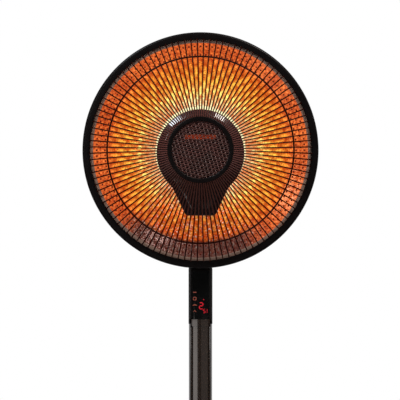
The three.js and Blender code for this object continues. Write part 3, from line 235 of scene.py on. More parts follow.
def quads(rows: int, count: int, round_rows: bool, round_points: bool) -> list[tuple[int, ...]]:
    """Fills in the faces between neighbouring rows of points.

    Args:
        rows: The number of rows.
        count: The number of points in each row.
        round_rows: Whether the last row joins the first.
        round_points: Whether the last point of each row joins its first.

    Returns:
        The faces, as indices of their corners.
    """
    faces = []
    for i in range(rows if round_rows else rows - 1):
        here, there = i * count, (i + 1) % rows * count
        for j in range(count if round_points else count - 1):
            k = (j + 1) % count
            faces.append((here + j, here + k, there + k, there + j))
    return faces


def loft(name: str, rings: Sequence, closed: bool = False, crease: float = 35.0) -> Object:
    """Skins a row of closed rings that have as many points each.

    Args:
        name: The object's name.
        rings: The rings, each a list of points in space.
        closed: Whether the last ring joins the first, or both are capped.
        crease: The angle past which an edge stays sharp, in degrees.

    Returns:
        The object.
    """
    count = len(rings[0])
    points = [p for ring in rings for p in ring]
    faces = quads(len(rings), count, closed, True)
    if not closed:
        faces.append(tuple(range(count)))
        faces.append(tuple(reversed(range(len(points) - count, len(points)))))
    return make(name, points, faces, crease)


def lathe(
    name: str,
    line: Line,
    axis: Axis = Axis.Z,
    centre: Sequence[float] = (0, 0, 0),
    segments: int = 96,
) -> Object:
    """Turns a profile about an axis.

    Args:
        name: The object's name.
        line: The profile, as radius and distance along the axis. It starts and ends on the axis
            or else closes on itself.
        axis: The direction of the axis.
        centre: A point that the axis runs through.
        segments: The number of steps round the axis.

    Returns:
        The object.
    """
    points = [p for i in range(segments) for p in axis.points(line, 2 * math.pi * i / segments)]
    points = np.array(points) + np.array(centre)
    on_axis = line[0][0] == 0 and line[-1][0] == 0
    return make(name, points, quads(segments, len(line), True, not on_axis))


def bar(radius: float, start: float, end: float) -> Line:
    """The profile of a round bar between two distances along its axis."""
    return [(0, start), (radius, start), (radius, end), (0, end)]


def rounded(corners: Sequence[tuple], closed: bool = True, steps: int = 5) -> Line:
    """Rounds the corners of a line.

    Args:
        corners: The corners, each as x, y and the length of edge that its rounding takes.
        closed: Whether the line closes on itself.
        steps: The number of stretches in each rounding.

    Returns:
        The points of the rounded line.
    """
    line: Line = []
    last = len(corners) - 1
    for i, (x, y, reach) in enumerate(corners):
        corner = Vector((x, y))
        if reach == 0 or (not closed and i in (0, last)):
            line.append((x, y))
            continue
        before = Vector(corners[i - 1][:2]) - corner
        after = Vector(corners[(i + 1) % len(corners)][:2]) - corner
        start = corner + before.normalized() * min(reach, before.length * 0.499)
        end = corner + after.normalized() * min(reach, after.length * 0.499)
        line += bow(tuple(start), (x, y), tuple(end), steps)
    return line


def bow(start: Sequence, pull: Sequence, end: Sequence, steps: int) -> Line:
    """Draws a curve that is pulled towards a point.

    Args:
        start: The curve's first point.
        pull: The point that it is pulled towards.
        end: Its last point.
        steps: The number of its stretches.

    Returns:
        The curve's points, with both its ends.
    """
    curve = []
    for i in range(steps + 1):
        t = i / steps
        weights = ((1 - t) ** 2, 2 * t * (1 - t), t * t)
        curve.append(tuple(sum(w * p[k] for w, p in zip(weights, (start, pull, end))) for k in (0, 1)))
    return curve


def beside(line: Line, distance: float) -> Line:
    """Moves an open line sideways, square to each stretch.

    Args:
        line: The line, whose first or last point may lie on an axis.
        distance: How far it moves to its left.

    Returns:
        The moved line, whose points on the axis stay on it.
    """
    moved: Line = []
    for i, (x, y) in enumerate(line):
        before = Vector(line[max(i - 1, 0)])
        after = Vector(line[min(i + 1, len(line) - 1)])
        along = (after - before).normalized()
        moved.append((0 if x == 0 else x - along.y * distance, y + along.x * distance))
    return moved


def block(name: str, low: Sequence[float], high: Sequence[float]) -> Object:
    """Makes a plain box that other forms are cut with.

    Args:
        name: The object's name.
        low: Its lowest corner.
        high: Its highest corner.

    Returns:
        The box.
    """
    corners = [(x, y, z) for x in (low[0], high[0]) for y in (low[1], high[1]) for z in (low[2], high[2])]
    faces = [(0, 1, 3, 2), (4, 6, 7, 5), (0, 4, 5, 1), (2, 3, 7, 6), (0, 2, 6, 4), (1, 5, 7, 3)]
    return make(name, corners, faces)


def evaluated(obj: Object) -> bpy.types.Mesh:
    """The mesh that an object makes, with its modifiers at work."""
    graph = bpy.context.evaluated_depsgraph_get()
    return bpy.data.meshes.new_from_object(obj.evaluated_get(graph), depsgraph=graph)


def settle(obj: Object, crease: float = 35.0) -> Object:
    """Turns an object with live modifiers into a plain mesh.

    Args:
        obj: The object.
        crease: The angle past which an edge stays sharp, in degrees.

    Returns:
        The same object, without modifiers.
    """
    mesh = evaluated(obj)
    obj.modifiers.clear()
    obj.data = mesh
    close_up(mesh, crease)
    return obj


def unit(rows: np.ndarray) -> np.ndarray:
    """Brings every row to a length of 1."""
    return rows / np.linalg.norm(rows, axis=1)[:, None]


class Joining(Enum):
    """The ways that one form changes another."""

    JOIN = "UNION"
    CUT = "DIFFERENCE"
    KEEP = "INTERSECT"


def combine(obj: Object, joining: Joining, tools: Sequence[Object], crease: float = 35.0) -> Object:
    """Joins forms to an object, or cuts it with them, and removes them.

    Args:
        obj: The object that is changed.
        joining: What the tools do to it.
        tools: The forms.
        crease: The angle past which an edge stays sharp, in degrees.

    Returns:
        The changed object.
    """
    for tool in tools:
        modifier = obj.modifiers.new(tool.name, "BOOLEAN")
        modifier.operation = joining.value
        modifier.object = tool
        modifier.solver = "EXACT"
    settle(obj, crease)
    for tool in tools:
        bpy.data.objects.remove(tool)
    return obj


def soften(obj: Object, width: float, steps: int = 2, crease: float = 25.0) -> Object:
    """Rounds an object's sharp edges.

    Args:
        obj: The object.
        width: How far the rounding reaches from each edge.
        steps: The number of faces across the rounding.
        crease: The angle past which an edge stays sharp, in degrees.

    Returns:
        The same object, as a plain mesh.
    """
    modifier = obj.modifiers.new("edges", "BEVEL")
    modifier.width = width
    modifier.segments = steps
    modifier.limit_method = "ANGLE"
    modifier.angle_limit = math.radians(30)
    modifier.use_clamp_overlap = True
    return settle(obj, crease)


def softened(node: str, width: float, steps: int = 2) -> Object:
    """Makes a copy of a CAD node with merged flats and rounded edges.

    Args:
        node: The CAD node's name.
        width: How far the rounding reaches from each edge.
        steps: The number of faces across the rounding.

    Returns:
        The copy, which still has to stand for the node.
    """
    mesh = NODES[node].data.copy()
    work = bmesh.new()
    work.from_mesh(mesh)
    bmesh.ops.remove_doubles(work, verts=work.verts, dist=5e-6)
    bmesh.ops.dissolve_limit(work, angle_limit=math.radians(1), verts=work.verts, edges=work.edges)
    work.to_mesh(mesh)
    work.free()
    mesh.materials.clear()
    return soften(link(f"{node}_softened", mesh), width, steps)


def plate(name: str, outlines: Sequence[Line], thickness: float, edge: float, place: Matrix) -> Object:
    """Makes a flat sheet with rounded edges.

    Args:
        name: The object's name.
        outlines: The outline, anticlockwise, and then its holes, clockwise, all in X and Y.
        thickness: The sheet's thickness, half of it on each side of the outline's plane.
        edge: The radius of its edges.
        place: Where the sheet goes.

    Returns:
        The object.
    """
    curve = bpy.data.curves.new(name, "CURVE")
    curve.dimensions = "2D"
    curve.fill_mode = "BOTH"
    curve.extrude = thickness / 2 - edge
    curve.bevel_depth = edge
    curve.bevel_resolution = 2
    curve.offset = -edge
    for outline in outlines:
        spline = curve.splines.new("POLY")
        spline.points.add(len(outline) - 1)
        spline.points.foreach_set("co", [c for x, y in outline for c in (x, y, 0, 1)])
        spline.use_cyclic_u = True
    maker = link(name, curve)
    mesh = evaluated(maker)
    bpy.data.objects.remove(maker)
    mesh.transform(place)
    close_up(mesh)
    return link(name, mesh)


def arc(x: float, y: float, radius: float, turns: Iterable[float]) -> Line:
    """The points of a circle about a middle, one at each turn in radians."""
    return [(x + radius * math.cos(turn), y + radius * math.sin(turn)) for turn in turns]


def oblong(x0: float, x1: float, y0: float, y1: float, corner: float, steps: int = 6) -> Line:
    """Draws a rectangle with round corners.

    Args:
        x0: Its left side.
        x1: Its right side.
        y0: Its lower side.
        y1: Its upper side.
        corner: The radius of its corners.
        steps: The number of stretches in each corner.

    Returns:
        Its points, anticlockwise.
    """
    line: Line = []
    middles = [(x1 - corner, y0 + corner), (x1 - corner, y1 - corner)]
    middles += [(x0 + corner, y1 - corner), (x0 + corner, y0 + corner)]
    for quarter, (x, y) in enumerate(middles):
        turns = [(quarter - 1 + i / steps) * math.pi / 2 for i in range(steps + 1)]
        line += arc(x, y, corner, turns)
    return line


def level(line: Line, z: float) -> Ring:
    """An outline in X and Y, at a height."""
    return [(x, y, z) for x, y in line]


def upright(line: Line, y: float) -> Ring:
    """An outline in X and Z, at a depth."""
    return [(x, y, z) for x, z in line]


# ---- node trees


class Ramp(Enum):
    """How a value climbs from one end of a stretch to the other."""

    STRAIGHT = "LINEAR"
    EASED = "SMOOTHSTEP"


class Graph:
    """A node tree that is filled one call at a time."""

    family = "ShaderNode"  # what the types of its nodes start with

    def __init__(self, tree: bpy.types.NodeTree) -> None:
        """Starts with an empty tree."""
        self.tree = tree
        tree.nodes.clear()

    def put(self, socket: Socket, value: Value) -> None:
        """Links a socket to another, or sets its value.

        Args:
            socket: The socket that takes the value.
            value: The other socket, or the value.
        """
        if isinstance(value, bpy.types.NodeSocket):
            self.tree.links.new(value, socket)
        else:
            socket.default_value = value

    def node(self, kind: str, inputs: Union[dict, None] = None, **settings: Value) -> bpy.types.Node:
        """Adds a node.

        Args:
            kind: The node's type.
            inputs: What goes into its sockets, by name or number.
            **settings: The values of its properties.

        Returns:
            The node.
        """
        node = self.tree.nodes.new(kind)
        for name, value in settings.items():
            setattr(node, name, value)
        for key, value in (inputs or {}).items():
            self.put(node.inputs[key], value)
        return node

    def out(self, kind: str, **given: Value) -> Socket:
        """Adds a node of the tree's family and returns its first output.

        Args:
            kind: The node's type, without the family.
            **given: What goes into its sockets, which start with a capital and have _ for each
                space, and the values of its properties, which don't.

        Returns:
            The node's first output.
        """
        inputs = {name.replace("_", " "): value for name, value in given.items() if name[0].isupper()}
        settings = {name: value for name, value in given.items() if name[0].islower()}
        return self.node(self.family + kind, inputs, **settings).outputs[0]

    def math(self, operation: str, first: Value, second: Value = 0.0, third: Value = 0.0) -> Socket:
        """Adds a sum of two or three values and returns its result."""
        inputs = {0: first, 1: second, 2: third}
        return self.node("ShaderNodeMath", inputs, operation=operation).outputs[0]

    def times(self, first: Value, second: Value) -> Socket:
        """Multiplies two values."""
        return self.math("MULTIPLY", first, second)

    def vector(self, x: Value, y: Value, z: Value) -> Socket:
        """Joins three numbers to a vector."""
        return self.node("ShaderNodeCombineXYZ", {0: x, 1: y, 2: z}).outputs[0]

    def spread(
        self,
        value: Socket,
        low: float,
        high: float,
        start: float = 0.3,
        end: float = 0.7,
        ramp: Ramp = Ramp.STRAIGHT,
    ) -> Socket:
        """Maps a value from one stretch to another, and keeps it within that.

        Args:
            value: The value.
            low: What it becomes at the start.
            high: What it becomes at the end.
            start: The start of its own stretch.
            end: The end of its own stretch.
            ramp: How it climbs between them.

        Returns:
            The mapped value.
        """
        ends = {"From_Min": start, "From_Max": end, "To_Min": low, "To_Max": high}
        return self.out("MapRange", Value=value, interpolation_type=ramp.value, **ends)


class Shader(Graph):
    """The node tree of a material, round one Principled shader."""

    def __init__(self, name: str) -> None:
        """Makes the material and its shader.

        Args:
            name: The material's name.
        """
        self.material = bpy.data.materials.new(name)
        self.material.use_nodes = True
        super().__init__(self.material.node_tree)
        self.surface = self.node("ShaderNodeBsdfPrincipled")
        self.end = self.node("ShaderNodeOutputMaterial", {"Surface": self.surface.outputs[0]})
        self.place = self.node("ShaderNodeTexCoord").outputs["Object"]

    def set(self, **inputs: Value) -> None:
        """Sets the shader's sockets, whose names are given with _ for each space."""
        for name, value in inputs.items():
            self.put(self.surface.inputs[name.replace("_", " ")], value)

    def noise(self, size: float, detail: float = 3.0, stretch: tuple = (1, 1, 1)) -> Socket:
        """Adds noise whose spots are about a size across.

        Args:
            size: The size of the spots, in metres.
            detail: How many finer layers it has.
            stretch: How many times finer the spots are along X, Y and Z.

        Returns:
            The noise, about 0 to 1.
        """
        where = self.out("Mapping", Vector=self.place, Scale=stretch)
        return self.out("TexNoise", Vector=where, Scale=1 / size, Detail=detail)

    def around(self, centre: Vector) -> tuple[Socket, Socket, Socket]:
        """Measures from a point, seen along Y.

        Args:
            centre: The point.

        Returns:
            X, Z and the distance.
        """
        about = self.out("Mapping", Vector=self.place, Location=tuple(-centre))
        x, _, z = self.node("ShaderNodeSeparateXYZ", {0: about}).outputs
        squares = self.math("ADD", self.math("POWER", x, 2.0), self.math("POWER", z, 2.0))
        return x, z, self.math("SQRT", squares)

    def blend(self, share: Value, first: Value, second: Value) -> Socket:
        """Mixes two colours.

        Args:
            share: How much of the second there is.
            first: The first colour.
            second: The second colour.

        Returns:
            The mixed colour.
        """
        mixer = self.node("ShaderNodeMix", data_type="RGBA")
        for key, value in ((0, share), (6, first), (7, second)):
            self.put(mixer.inputs[key], value if isinstance(value, (Socket, float)) else (*value, 1))
        return mixer.outputs[2]

    def bump(self, height: Socket, depth: float) -> Socket:
        """Turns a height, 0 to 1, into a normal, where 1 is depth metres high."""
        return self.out("Bump", Height=height, Distance=depth)


class Form(Graph):
    """A Geometry Nodes tree with named sizes, which makes one plain mesh."""

    family = "GeometryNode"

    def __init__(self, name: str) -> None:
        """Starts a form with no sizes.

        Args:
            name: The name of the form and of the object that it makes.
        """
        super().__init__(bpy.data.node_groups.new(name, "GeometryNodeTree"))
        self.name = name
        self.tree.interface.new_socket("Geometry", in_out="OUTPUT", socket_type="NodeSocketGeometry")
        self.given: dict[str, float] = {}
        self.source = None

    def sizes(self, **values: float) -> None:
        """Names the form's sizes.

        Args:
            **values: What each size is, where a whole number is a count.
        """
        for name, value in values.items():
            kind = "NodeSocketInt" if isinstance(value, int) else "NodeSocketFloat"
            socket = self.tree.interface.new_socket(name, in_out="INPUT", socket_type=kind)
            self.given[socket.identifier] = value
        self.source = self.node("NodeGroupInput")

    def size(self, name: str) -> Socket:
        """The socket that gives a named size."""
        return self.source.outputs[name]

    def ring(self, radius: Value, depth: Value, tube: Value, steps: int) -> Socket:
        """A closed tube bent round the Y axis.

        Args:
            radius: The radius of the tube's middle line.
            depth: Its place along Y.
            tube: The tube's own radius.
            steps: The number of steps round the ring.

        Returns:
            The ring's geometry.
        """
        circle = self.out("CurvePrimitiveCircle", Resolution=steps, Radius=radius)
        place = self.vector(0, depth, 0)
        turned = self.out("Transform", Geometry=circle, Translation=place, Rotation=(math.pi / 2, 0, 0))
        return self.tube(turned, tube)

    def tube(self, curve: Socket, radius: Value) -> Socket:
        """An eight-sided tube along a curve, with its ends closed."""
        profile = self.out("CurvePrimitiveCircle", Resolution=8, Radius=radius)
        return self.out("CurveToMesh", Curve=curve, Profile_Curve=profile, Fill_Caps=True)

    def repeat(self, points: Socket, piece: Socket, turn: Value = (0, 0, 0)) -> Socket:
        """Copies of a piece, one on each point."""
        return self.out("InstanceOnPoints", Points=points, Instance=piece, Rotation=turn)

    def together(self, *pieces: Socket) -> Socket:
        """Joins pieces to one geometry.

        Args:
            *pieces: The pieces.

        Returns:
            The whole.
        """
        joined = self.node("GeometryNodeJoinGeometry")
        for piece in pieces:
            self.tree.links.new(piece, joined.inputs[0])
        return joined.outputs[0]

    def build(self, geometry: Socket, material: Material, place: Sequence[float] = (0, 0, 0)) -> Object:
        """Ends the tree, runs it and turns its result into a plain mesh.

        Args:
            geometry: What the tree has made.
            material: The finish that the mesh is set to.
            place: How far the result is moved.

        Returns:
            The object, at the origin, with no modifier.
        """
        moved = self.out("Transform", Geometry=geometry, Translation=tuple(place))
        real = self.out("RealizeInstances", Geometry=moved)
        dressed = self.out("SetMaterial", Geometry=real, Material=material)
        self.node("NodeGroupOutput", {0: dressed})
        obj = link(self.name, bpy.data.meshes.new(self.name))
        modifier = obj.modifiers.new("form", "NODES")
        modifier.node_group = self.tree
        for identifier, value in self.given.items():
            modifier[identifier] = value
        return settle(obj)


# ---- finishes


class Grain(Enum):
    """The fine relief of a surface: the size of its spots, their depth, and how they stretch."""

    SPARK = (0.35 * MM, 0.012 * MM, (1, 1, 1))
    POLISHED = (6 * MM, 0.02 * MM, (1, 1, 1))
    ORANGE_PEEL = (1.6 * MM, 0.012 * MM, (1, 1, 1))
    BRUSHED = (0.5 * MM, 0.006 * MM, (1, 1, 0.04))
    CAST = (1.4 * MM, 0.12 * MM, (1, 1, 1))
    BISQUE = (0.5 * MM, 0.02 * MM, (1, 1, 1))


class Finish:
    """What all finishes share: each has its own way to set up a shader."""

    def material(self, name: str) -> Material:
        """Makes the finish's material.

        Args:
            name: The material's name.

        Returns:
            The material.
        """
        shader = Shader(name)
        self.set_up(shader)
        return shader.material

    def set_up(self, shader: Shader) -> None:
        """Sets the shader up, which each kind of finish does for itself."""
        raise NotImplementedError


@dataclass(frozen=True)
class Coating(Finish):
    """A moulding, paint, plating or casting: one colour that varies a little, with a fine relief."""

    colour: Colour
    roughness: float
    grain: Grain
    metallic: float = 0.0
    coat: float = 0.0
    specular: float = 0.5
    tint: Colour = (0.0, 0.0, 0.0)  # the colour of its faint larger spots
    spot: float = 30 * MM

    def set_up(self, shader: Shader) -> None:
        """Mottles the colour and lays the grain's relief over it.

        Args:
            shader: The finish's shader.
        """
        size, depth, stretch = self.grain.value
        fine = shader.noise(size, 2.0, stretch)
        broad = shader.noise(self.spot, 4.0)
        mottled = shader.blend(shader.spread(broad, 0.0, 0.22), self.colour, self.tint)
        worn = shader.blend(shader.spread(fine, 0.0, 0.12), mottled, self.tint)
        low, high = self.roughness * 0.88, min(1.0, self.roughness * 1.14)
        shader.set(
            Base_Color=worn,
            Roughness=shader.spread(broad, low, high),
            Metallic=self.metallic,
            Specular_IOR_Level=self.specular,
            Coat_Weight=self.coat,
            Coat_Roughness=0.04,
            Normal=shader.bump(fine, depth),
        )


@dataclass(frozen=True)
class GuardEnamelPaintedLight(Finish):
    """Dark enamel with painted light and shade: lighter where the wires cross the lamp's shield, and near
    black where they cross the glowing dish.
    """

    # painted light on the wires in front of the shield, darker towards the bottom, and painted shade on
    # those in front of the glowing dish
    shield_lit: Colour = srgb(58, 31, 28)
    low: Colour = srgb(36, 17, 14)
    backlit_shade: Colour = srgb(26, 3, 0)
    radius: float = 74 * MM
    drop: float = 4.7 * MM
    foot: float = 111.4 * MM
    taper: float = 0.53
    half: float = 84.3 * MM  # the shielded width at the head's middle, which the taper leads down from

    def set_up(self, shader: Shader) -> None:
        """Paints light on the wires in front of the shield, darker towards the bottom, and paints shade on
        the rest.

        Args:
            shader: The finish's shader.
        """
        edge = 1.5 * MM
        x, z, radius = shader.around(HEAD - Vector((0, 0, self.drop)))
        disc = shader.spread(radius, 1.0, 0.0, self.radius - edge, self.radius + edge)
        beside = shader.math("MULTIPLY_ADD", z, -self.taper, shader.math("ABSOLUTE", x))
        foot = shader.spread(beside, 1.0, 0.0, self.half - edge, self.half + edge)
        low = self.drop - self.foot
        foot = shader.times(foot, shader.spread(z, 0.0, 1.0, low - edge, low + edge))
        foot = shader.times(foot, shader.spread(z, 1.0, 0.0, -45 * MM, -40 * MM))
        fine = shader.noise(1.6 * MM, 2.0)
        # painted light inside the shield's outline, darker towards the bottom, and painted shade outside it
        shield_lit = shader.blend(shader.spread(z, 1.0, 0.0, -40 * MM, 0.0), self.shield_lit, self.low)
        shader.set(
            Base_Color=shader.blend(shader.math("MAXIMUM", disc, foot), self.backlit_shade, shield_lit),
            Roughness=shader.spread(fine, 0.36, 0.46),
            Specular_IOR_Level=0.03,
            Normal=shader.bump(fine, 0.012 * MM),
        )


@dataclass(frozen=True)
class LitMirror(Finish):
    """A hammered aluminium dish with the lamp's reflected glow painted into it as emission, hot near the
    lamp and dull far from it.

    Each step gives a radius and the glow's colour there, between the dimples and in their middles.
    """

    steps: tuple[tuple[float, Colour, Colour], ...] = (
        (0.036, srgb(80, 16, 6), srgb(146, 48, 18)),
        (0.060, srgb(236, 112, 26), srgb(255, 253, 206)),
        (0.080, srgb(234, 96, 14), srgb(255, 255, 196)),
        (0.100, srgb(210, 56, 6), srgb(255, 240, 128)),
        (0.120, srgb(194, 38, 2), srgb(255, 198, 74)),
        (0.148, srgb(172, 26, 0), srgb(255, 154, 52)),
        (0.158, srgb(166, 32, 4), srgb(252, 134, 60)),
        (0.184, srgb(162, 30, 4), srgb(248, 128, 60)),
    )
    reach: float = 0.200
    # the colour of the painted glints in the dish's lowest stretch
    white: Colour = srgb(255, 226, 206)
    dull: Colour = (0.06, 0.03, 0.016)
    shaded: Colour = (0.30, 0.20, 0.18)

    def set_up(self, shader: Shader) -> None:
        """Paints the glow onto the dimples as emission, by their streaks, and dims what lies in the painted
        shade of the lamp.

        Args:
            shader: The finish's shader.
        """
        x, z, radius = shader.around(HEAD)
        glow_streak = shader.node("ShaderNodeAttribute", attribute_name="glow_streak").outputs["Fac"]
        crinkle = shader.noise(2.6 * MM, 4.0)
        low, shade = self.shade(shader, radius, x, z)
        glow_streak = shader.times(glow_streak, shader.math("MULTIPLY_ADD", low, -0.5, 1.0))
        share = shader.times(glow_streak, shader.spread(crinkle, 0.3, 1.7))
        glow = shader.blend(share, self.glow(shader, radius, 1), self.glow(shader, radius, 2))
        # painted glints: white crinkle spots in the lowest stretch
        glint = shader.spread(shader.noise(3 * MM, 3.0, (1, 1, 0.5)), 0.0, 0.85, 0.6, 0.68)
        glow = shader.blend(shader.times(glint, low), glow, self.white)
        patch = shader.spread(shader.noise(4 * MM, 3.0), -1.0, 1.0)
        uneven = shader.math("MULTIPLY_ADD", patch, shader.math("MULTIPLY_ADD", low, 0.34, 0.21), 1.0)
        lit = shader.math("SUBTRACT", shader.math("MULTIPLY_ADD", low, -0.16, 1.0), shade)
        lit = shader.math("MAXIMUM", lit, 0.12)
        hot = shader.math("MULTIPLY_ADD", share, 0.3, 0.92)
        sheen = shader.math("MAXIMUM", shade, shader.times(low, 0.3))
        shader.set(
            Base_Color=shader.blend(sheen, self.dull, self.shaded),
            Metallic=1.0,
            Roughness=shader.spread(crinkle, 0.14, 0.26),
            Emission_Color=glow,
            Emission_Strength=shader.times(lit, shader.times(uneven, hot)),
            Normal=shader.bump(shader.noise(1.8 * MM, 2.0), 0.06 * MM),
        )

    def glow(self, shader: Shader, radius: Socket, choice: int) -> Socket:
        """Works out the glow's colour.

        Args:
            shader: The finish's shader.
            radius: The distance from the head's axis.
            choice: Where it is, between the dimples (1) or in their middles (2).

        Returns:
            The colour.
        """
        ramp = shader.node("ShaderNodeValToRGB", {0: shader.math("DIVIDE", radius, self.reach)})
        stops = ramp.color_ramp.elements
        while len(stops) < len(self.steps):
            stops.new(0.5)
        for stop, step in zip(stops, self.steps):
            stop.position = step[0] / self.reach
            stop.color = (*step[choice], 1)
        return ramp.outputs[0]

    def shade(self, shader: Shader, radius: Socket, x: Socket, z: Socket) -> tuple[Socket, Socket]:
        """Works out how far the lamp's caps and legs stand in its light.

        Args:
            shader: The finish's shader.
            radius: The distance from the head's axis.
            x: The distance to the right of it.
            z: The height above it.

        Returns:
            How far a place is in the dish's lowest stretch, and how dark the flange is there.
        """
        aside = shader.math("ABSOLUTE", shader.math("MULTIPLY_ADD", z, -0.16, x))
        angle = shader.math("ARCTAN2", aside, shader.times(z, -1.0))
        low = shader.spread(angle, 1.0, 0.0, 0.45, 0.85, Ramp.EASED)
        far = shader.spread(radius, 0.0, 0.86, 0.150, 0.160, Ramp.EASED)
        return low, shader.times(low, far)


@dataclass(frozen=True)
class Quartz(Finish):
    """Clear quartz that lets the glow through."""

    colour: Colour
    alpha: float = 0.3

    def set_up(self, shader: Shader) -> None:
        """Makes the glass clear, with a faint haze.

        Args:
            shader: The finish's shader.
        """
        haze = shader.noise(4 * MM, 3.0)
        shader.set(
            Base_Color=shader.blend(shader.spread(haze, 0.0, 0.3), self.colour, srgb(255, 236, 214)),
            Roughness=shader.spread(haze, 0.03, 0.09),
            Alpha=self.alpha,
            IOR=1.46,
        )


@dataclass(frozen=True)
class Glow(Finish):
    """Something that shines by itself, a little unevenly."""

    colour: Colour
    strength: float
    base: Colour = (0.02, 0.005, 0.004)
    spot: float = 3 * MM

    def set_up(self, shader: Shader) -> None:
        """Makes the surface shine, a little brighter in some spots.

        Args:
            shader: The finish's shader.
        """
        uneven = shader.noise(self.spot, 2.0)
        shader.set(
            Base_Color=(*self.base, 1),
            Roughness=0.4,
            Specular_IOR_Level=0.1,
            Emission_Color=(*self.colour, 1),
            Emission_Strength=shader.spread(uneven, self.strength * 0.8, self.strength * 1.2),
        )


@dataclass(frozen=True)
class CircuitBoard(Finish):
    """Green solder mask over a pattern of copper tracks."""

    mask: Colour
    track: Colour

    def set_up(self, shader: Shader) -> None:
        """Draws the tracks over the solder mask.

        Args:
            shader: The finish's shader.
        """
        cells = shader.out(
            "TexVoronoi", Vector=shader.place, Scale=260.0, Randomness=0.6, feature="DISTANCE_TO_EDGE"
        )
        tracks = shader.spread(cells, 0.0, 1.0, 0.04, 0.08)
        shader.set(
            Base_Color=shader.blend(tracks, self.track, self.mask),
            Roughness=shader.spread(tracks, 0.3, 0.42, 0.0, 1.0),
            Normal=shader.bump(tracks, 0.03 * MM),
        )


class Wardrobe:
    """All the finishes, made once each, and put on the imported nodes."""

    def __init__(self) -> None:
        """Makes every finish."""
        spark, peel = Grain.SPARK, Grain.ORANGE_PEEL
        black = Coating(srgb(16, 15, 14), 0.34, spark, specular=0.3, tint=srgb(34, 32, 30))
        pole = Coating(srgb(18, 11, 7), 0.17, peel, 0.1, coat=0.8, specular=0.3, tint=srgb(30, 20, 15))
        shield = Coating(srgb(15, 4, 5), 0.3, peel, coat=0.8, specular=0.1, tint=srgb(24, 9, 10))
        gloss = Coating(srgb(4, 4, 4), 0.06, Grain.POLISHED, specular=0.2, tint=srgb(8, 7, 7))
        finishes = {
            Slot.BLACK_PLASTIC: black,
            Slot.WINDOW_GLOSS: gloss,
            Slot.POLE_METAL: pole,
            Slot.GUARD_ENAMEL: GuardEnamelPaintedLight(),
            Slot.SHIELD_ENAMEL: shield,
            Slot.DISH_MIRROR: LitMirror(),
            Slot.QUARTZ: Quartz(srgb(255, 214, 176)),
            Slot.FILAMENT: Glow(srgb(255, 150, 60), 14.0),
            Slot.CERAMIC: Coating(srgb(226, 218, 204), 0.62, Grain.BISQUE, tint=srgb(196, 184, 166)),
            Slot.STEEL: Coating(srgb(176, 178, 180), 0.32, Grain.BRUSHED, 1.0, tint=srgb(140, 140, 138)),
            Slot.CAST_IRON: Coating(srgb(60, 60, 62), 0.74, Grain.CAST, 0.6, tint=srgb(84, 66, 54)),
            Slot.RUBBER: Coating(srgb(27, 27, 27), 0.82, spark, tint=srgb(48, 47, 46)),
            Slot.NYLON: Coating(srgb(226, 222, 208), 0.46, spark, tint=srgb(206, 198, 178)),
            Slot.BOARD: CircuitBoard(srgb(30, 92, 54), srgb(150, 118, 60)),
            Slot.DIGITS: Glow(srgb(198, 14, 38), 1.0),
        }
        self.materials = {slot: finish.material(slot.value) for slot, finish in finishes.items()}
        self.rim = Coating(
            srgb(112, 88, 76), 0.5, spark, 0.3, specular=0.3, tint=srgb(84, 62, 52), spot=6 * MM
        ).material("bare_rim")
        self.housing = Coating(
            srgb(6, 4, 4), 0.22, spark, specular=0.05, tint=srgb(13, 11, 10), spot=8 * MM
        ).material("housing_black")
        self.ring = Coating(
            srgb(6, 4, 4), 0.3, spark, specular=0.06, tint=srgb(11, 9, 9)
        ).material("ring_black")
        # the strands' own colour, with the broad reddish tint spots painted as reflections of the dish's
        # glow
        self.mesh = Coating(
            srgb(38, 25, 21), 0.34, spark, 0.1, specular=0.15, tint=srgb(88, 25, 17), spot=12 * MM
        ).material("mesh_strand_and_glow_glints")
        self.dot = Coating(
            srgb(70, 18, 8), 0.7, spark, specular=0.1, tint=srgb(96, 28, 12)
        ).material("dark_dot")
        self.legend = Glow(srgb(124, 62, 48), 1.0).material("legend")

    def dress_nodes(self) -> None:
        """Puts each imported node's finish on it."""
        for part in frame["record"]["subparts"]:
            material = self.materials[Slot(part["material_slot"])]
            for slot in NODES[part["node"]].material_slots:
                slot.material = material


@dataclass
class Assembly:
    """What all sub-assemblies share: the finishes, and a way to dress and mount a piece."""

    finishes: Wardrobe
    body = Body.HEAD  # the body that the pieces ride on, unless they say otherwise

    def dress(
        self,
        obj: Object,
        slot: Slot,
        stands_for: Sequence[str] = (),
        material: Union[Material, None] = None,
        body: Union[Body, None] = None,
    ) -> None:
        """Dresses a piece, hides the CAD nodes that it stands for and lets it ride on its body.

        Args:
            obj: The piece.
            slot: The record's slot that its finish belongs to.
            stands_for: The CAD nodes that it replaces.
            material: Its finish, where that isn't the slot's own.
            body: Its body, where that isn't the sub-assembly's own.
        """
        body = body or self.body
        obj.data.materials.clear()
        obj.data.materials.append(material or self.finishes.materials[slot])
        if stands_for:
            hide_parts(*stands_for)
        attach(obj, body.value)
        log.info("%s: %d faces, rides on %s", obj.name, len(obj.data.polygons), body.value)


# ---- the head


@dataclass
class FrontRing(Assembly):
    """The black ring that clamps the guard to the dish."""

    lip: float = 12 * MM
    wall: float = 2.2 * MM
    edge: float = 4.5 * MM
    swell: float = 1.0 * MM  # how far the lacquered ring stands out past its bare section

    def build(self) -> None:
        """Turns the ring's rolled section about the head's axis."""
        space = Extent.of("front_ring")
        outer = space.radius + self.swell
        front, rear = space.low.y, space.high.y
        inner = outer - self.wall
        lip = space.radius - self.lip
        back = front + 2 * MM
        corners = [(outer, rear, 0.8 * MM), (outer, front, self.edge), (lip, front, 0.9 * MM)]
        corners += [(lip, back, 0.5 * MM), (inner, back, self.edge - self.wall), (inner, rear, 0.8 * MM)]
        ring = lathe("head_ring", rounded(corners, steps=7), Axis.Y, HEAD, 240)
        self.dress(ring, Slot.BLACK_PLASTIC, ["front_ring"], self.finishes.ring)


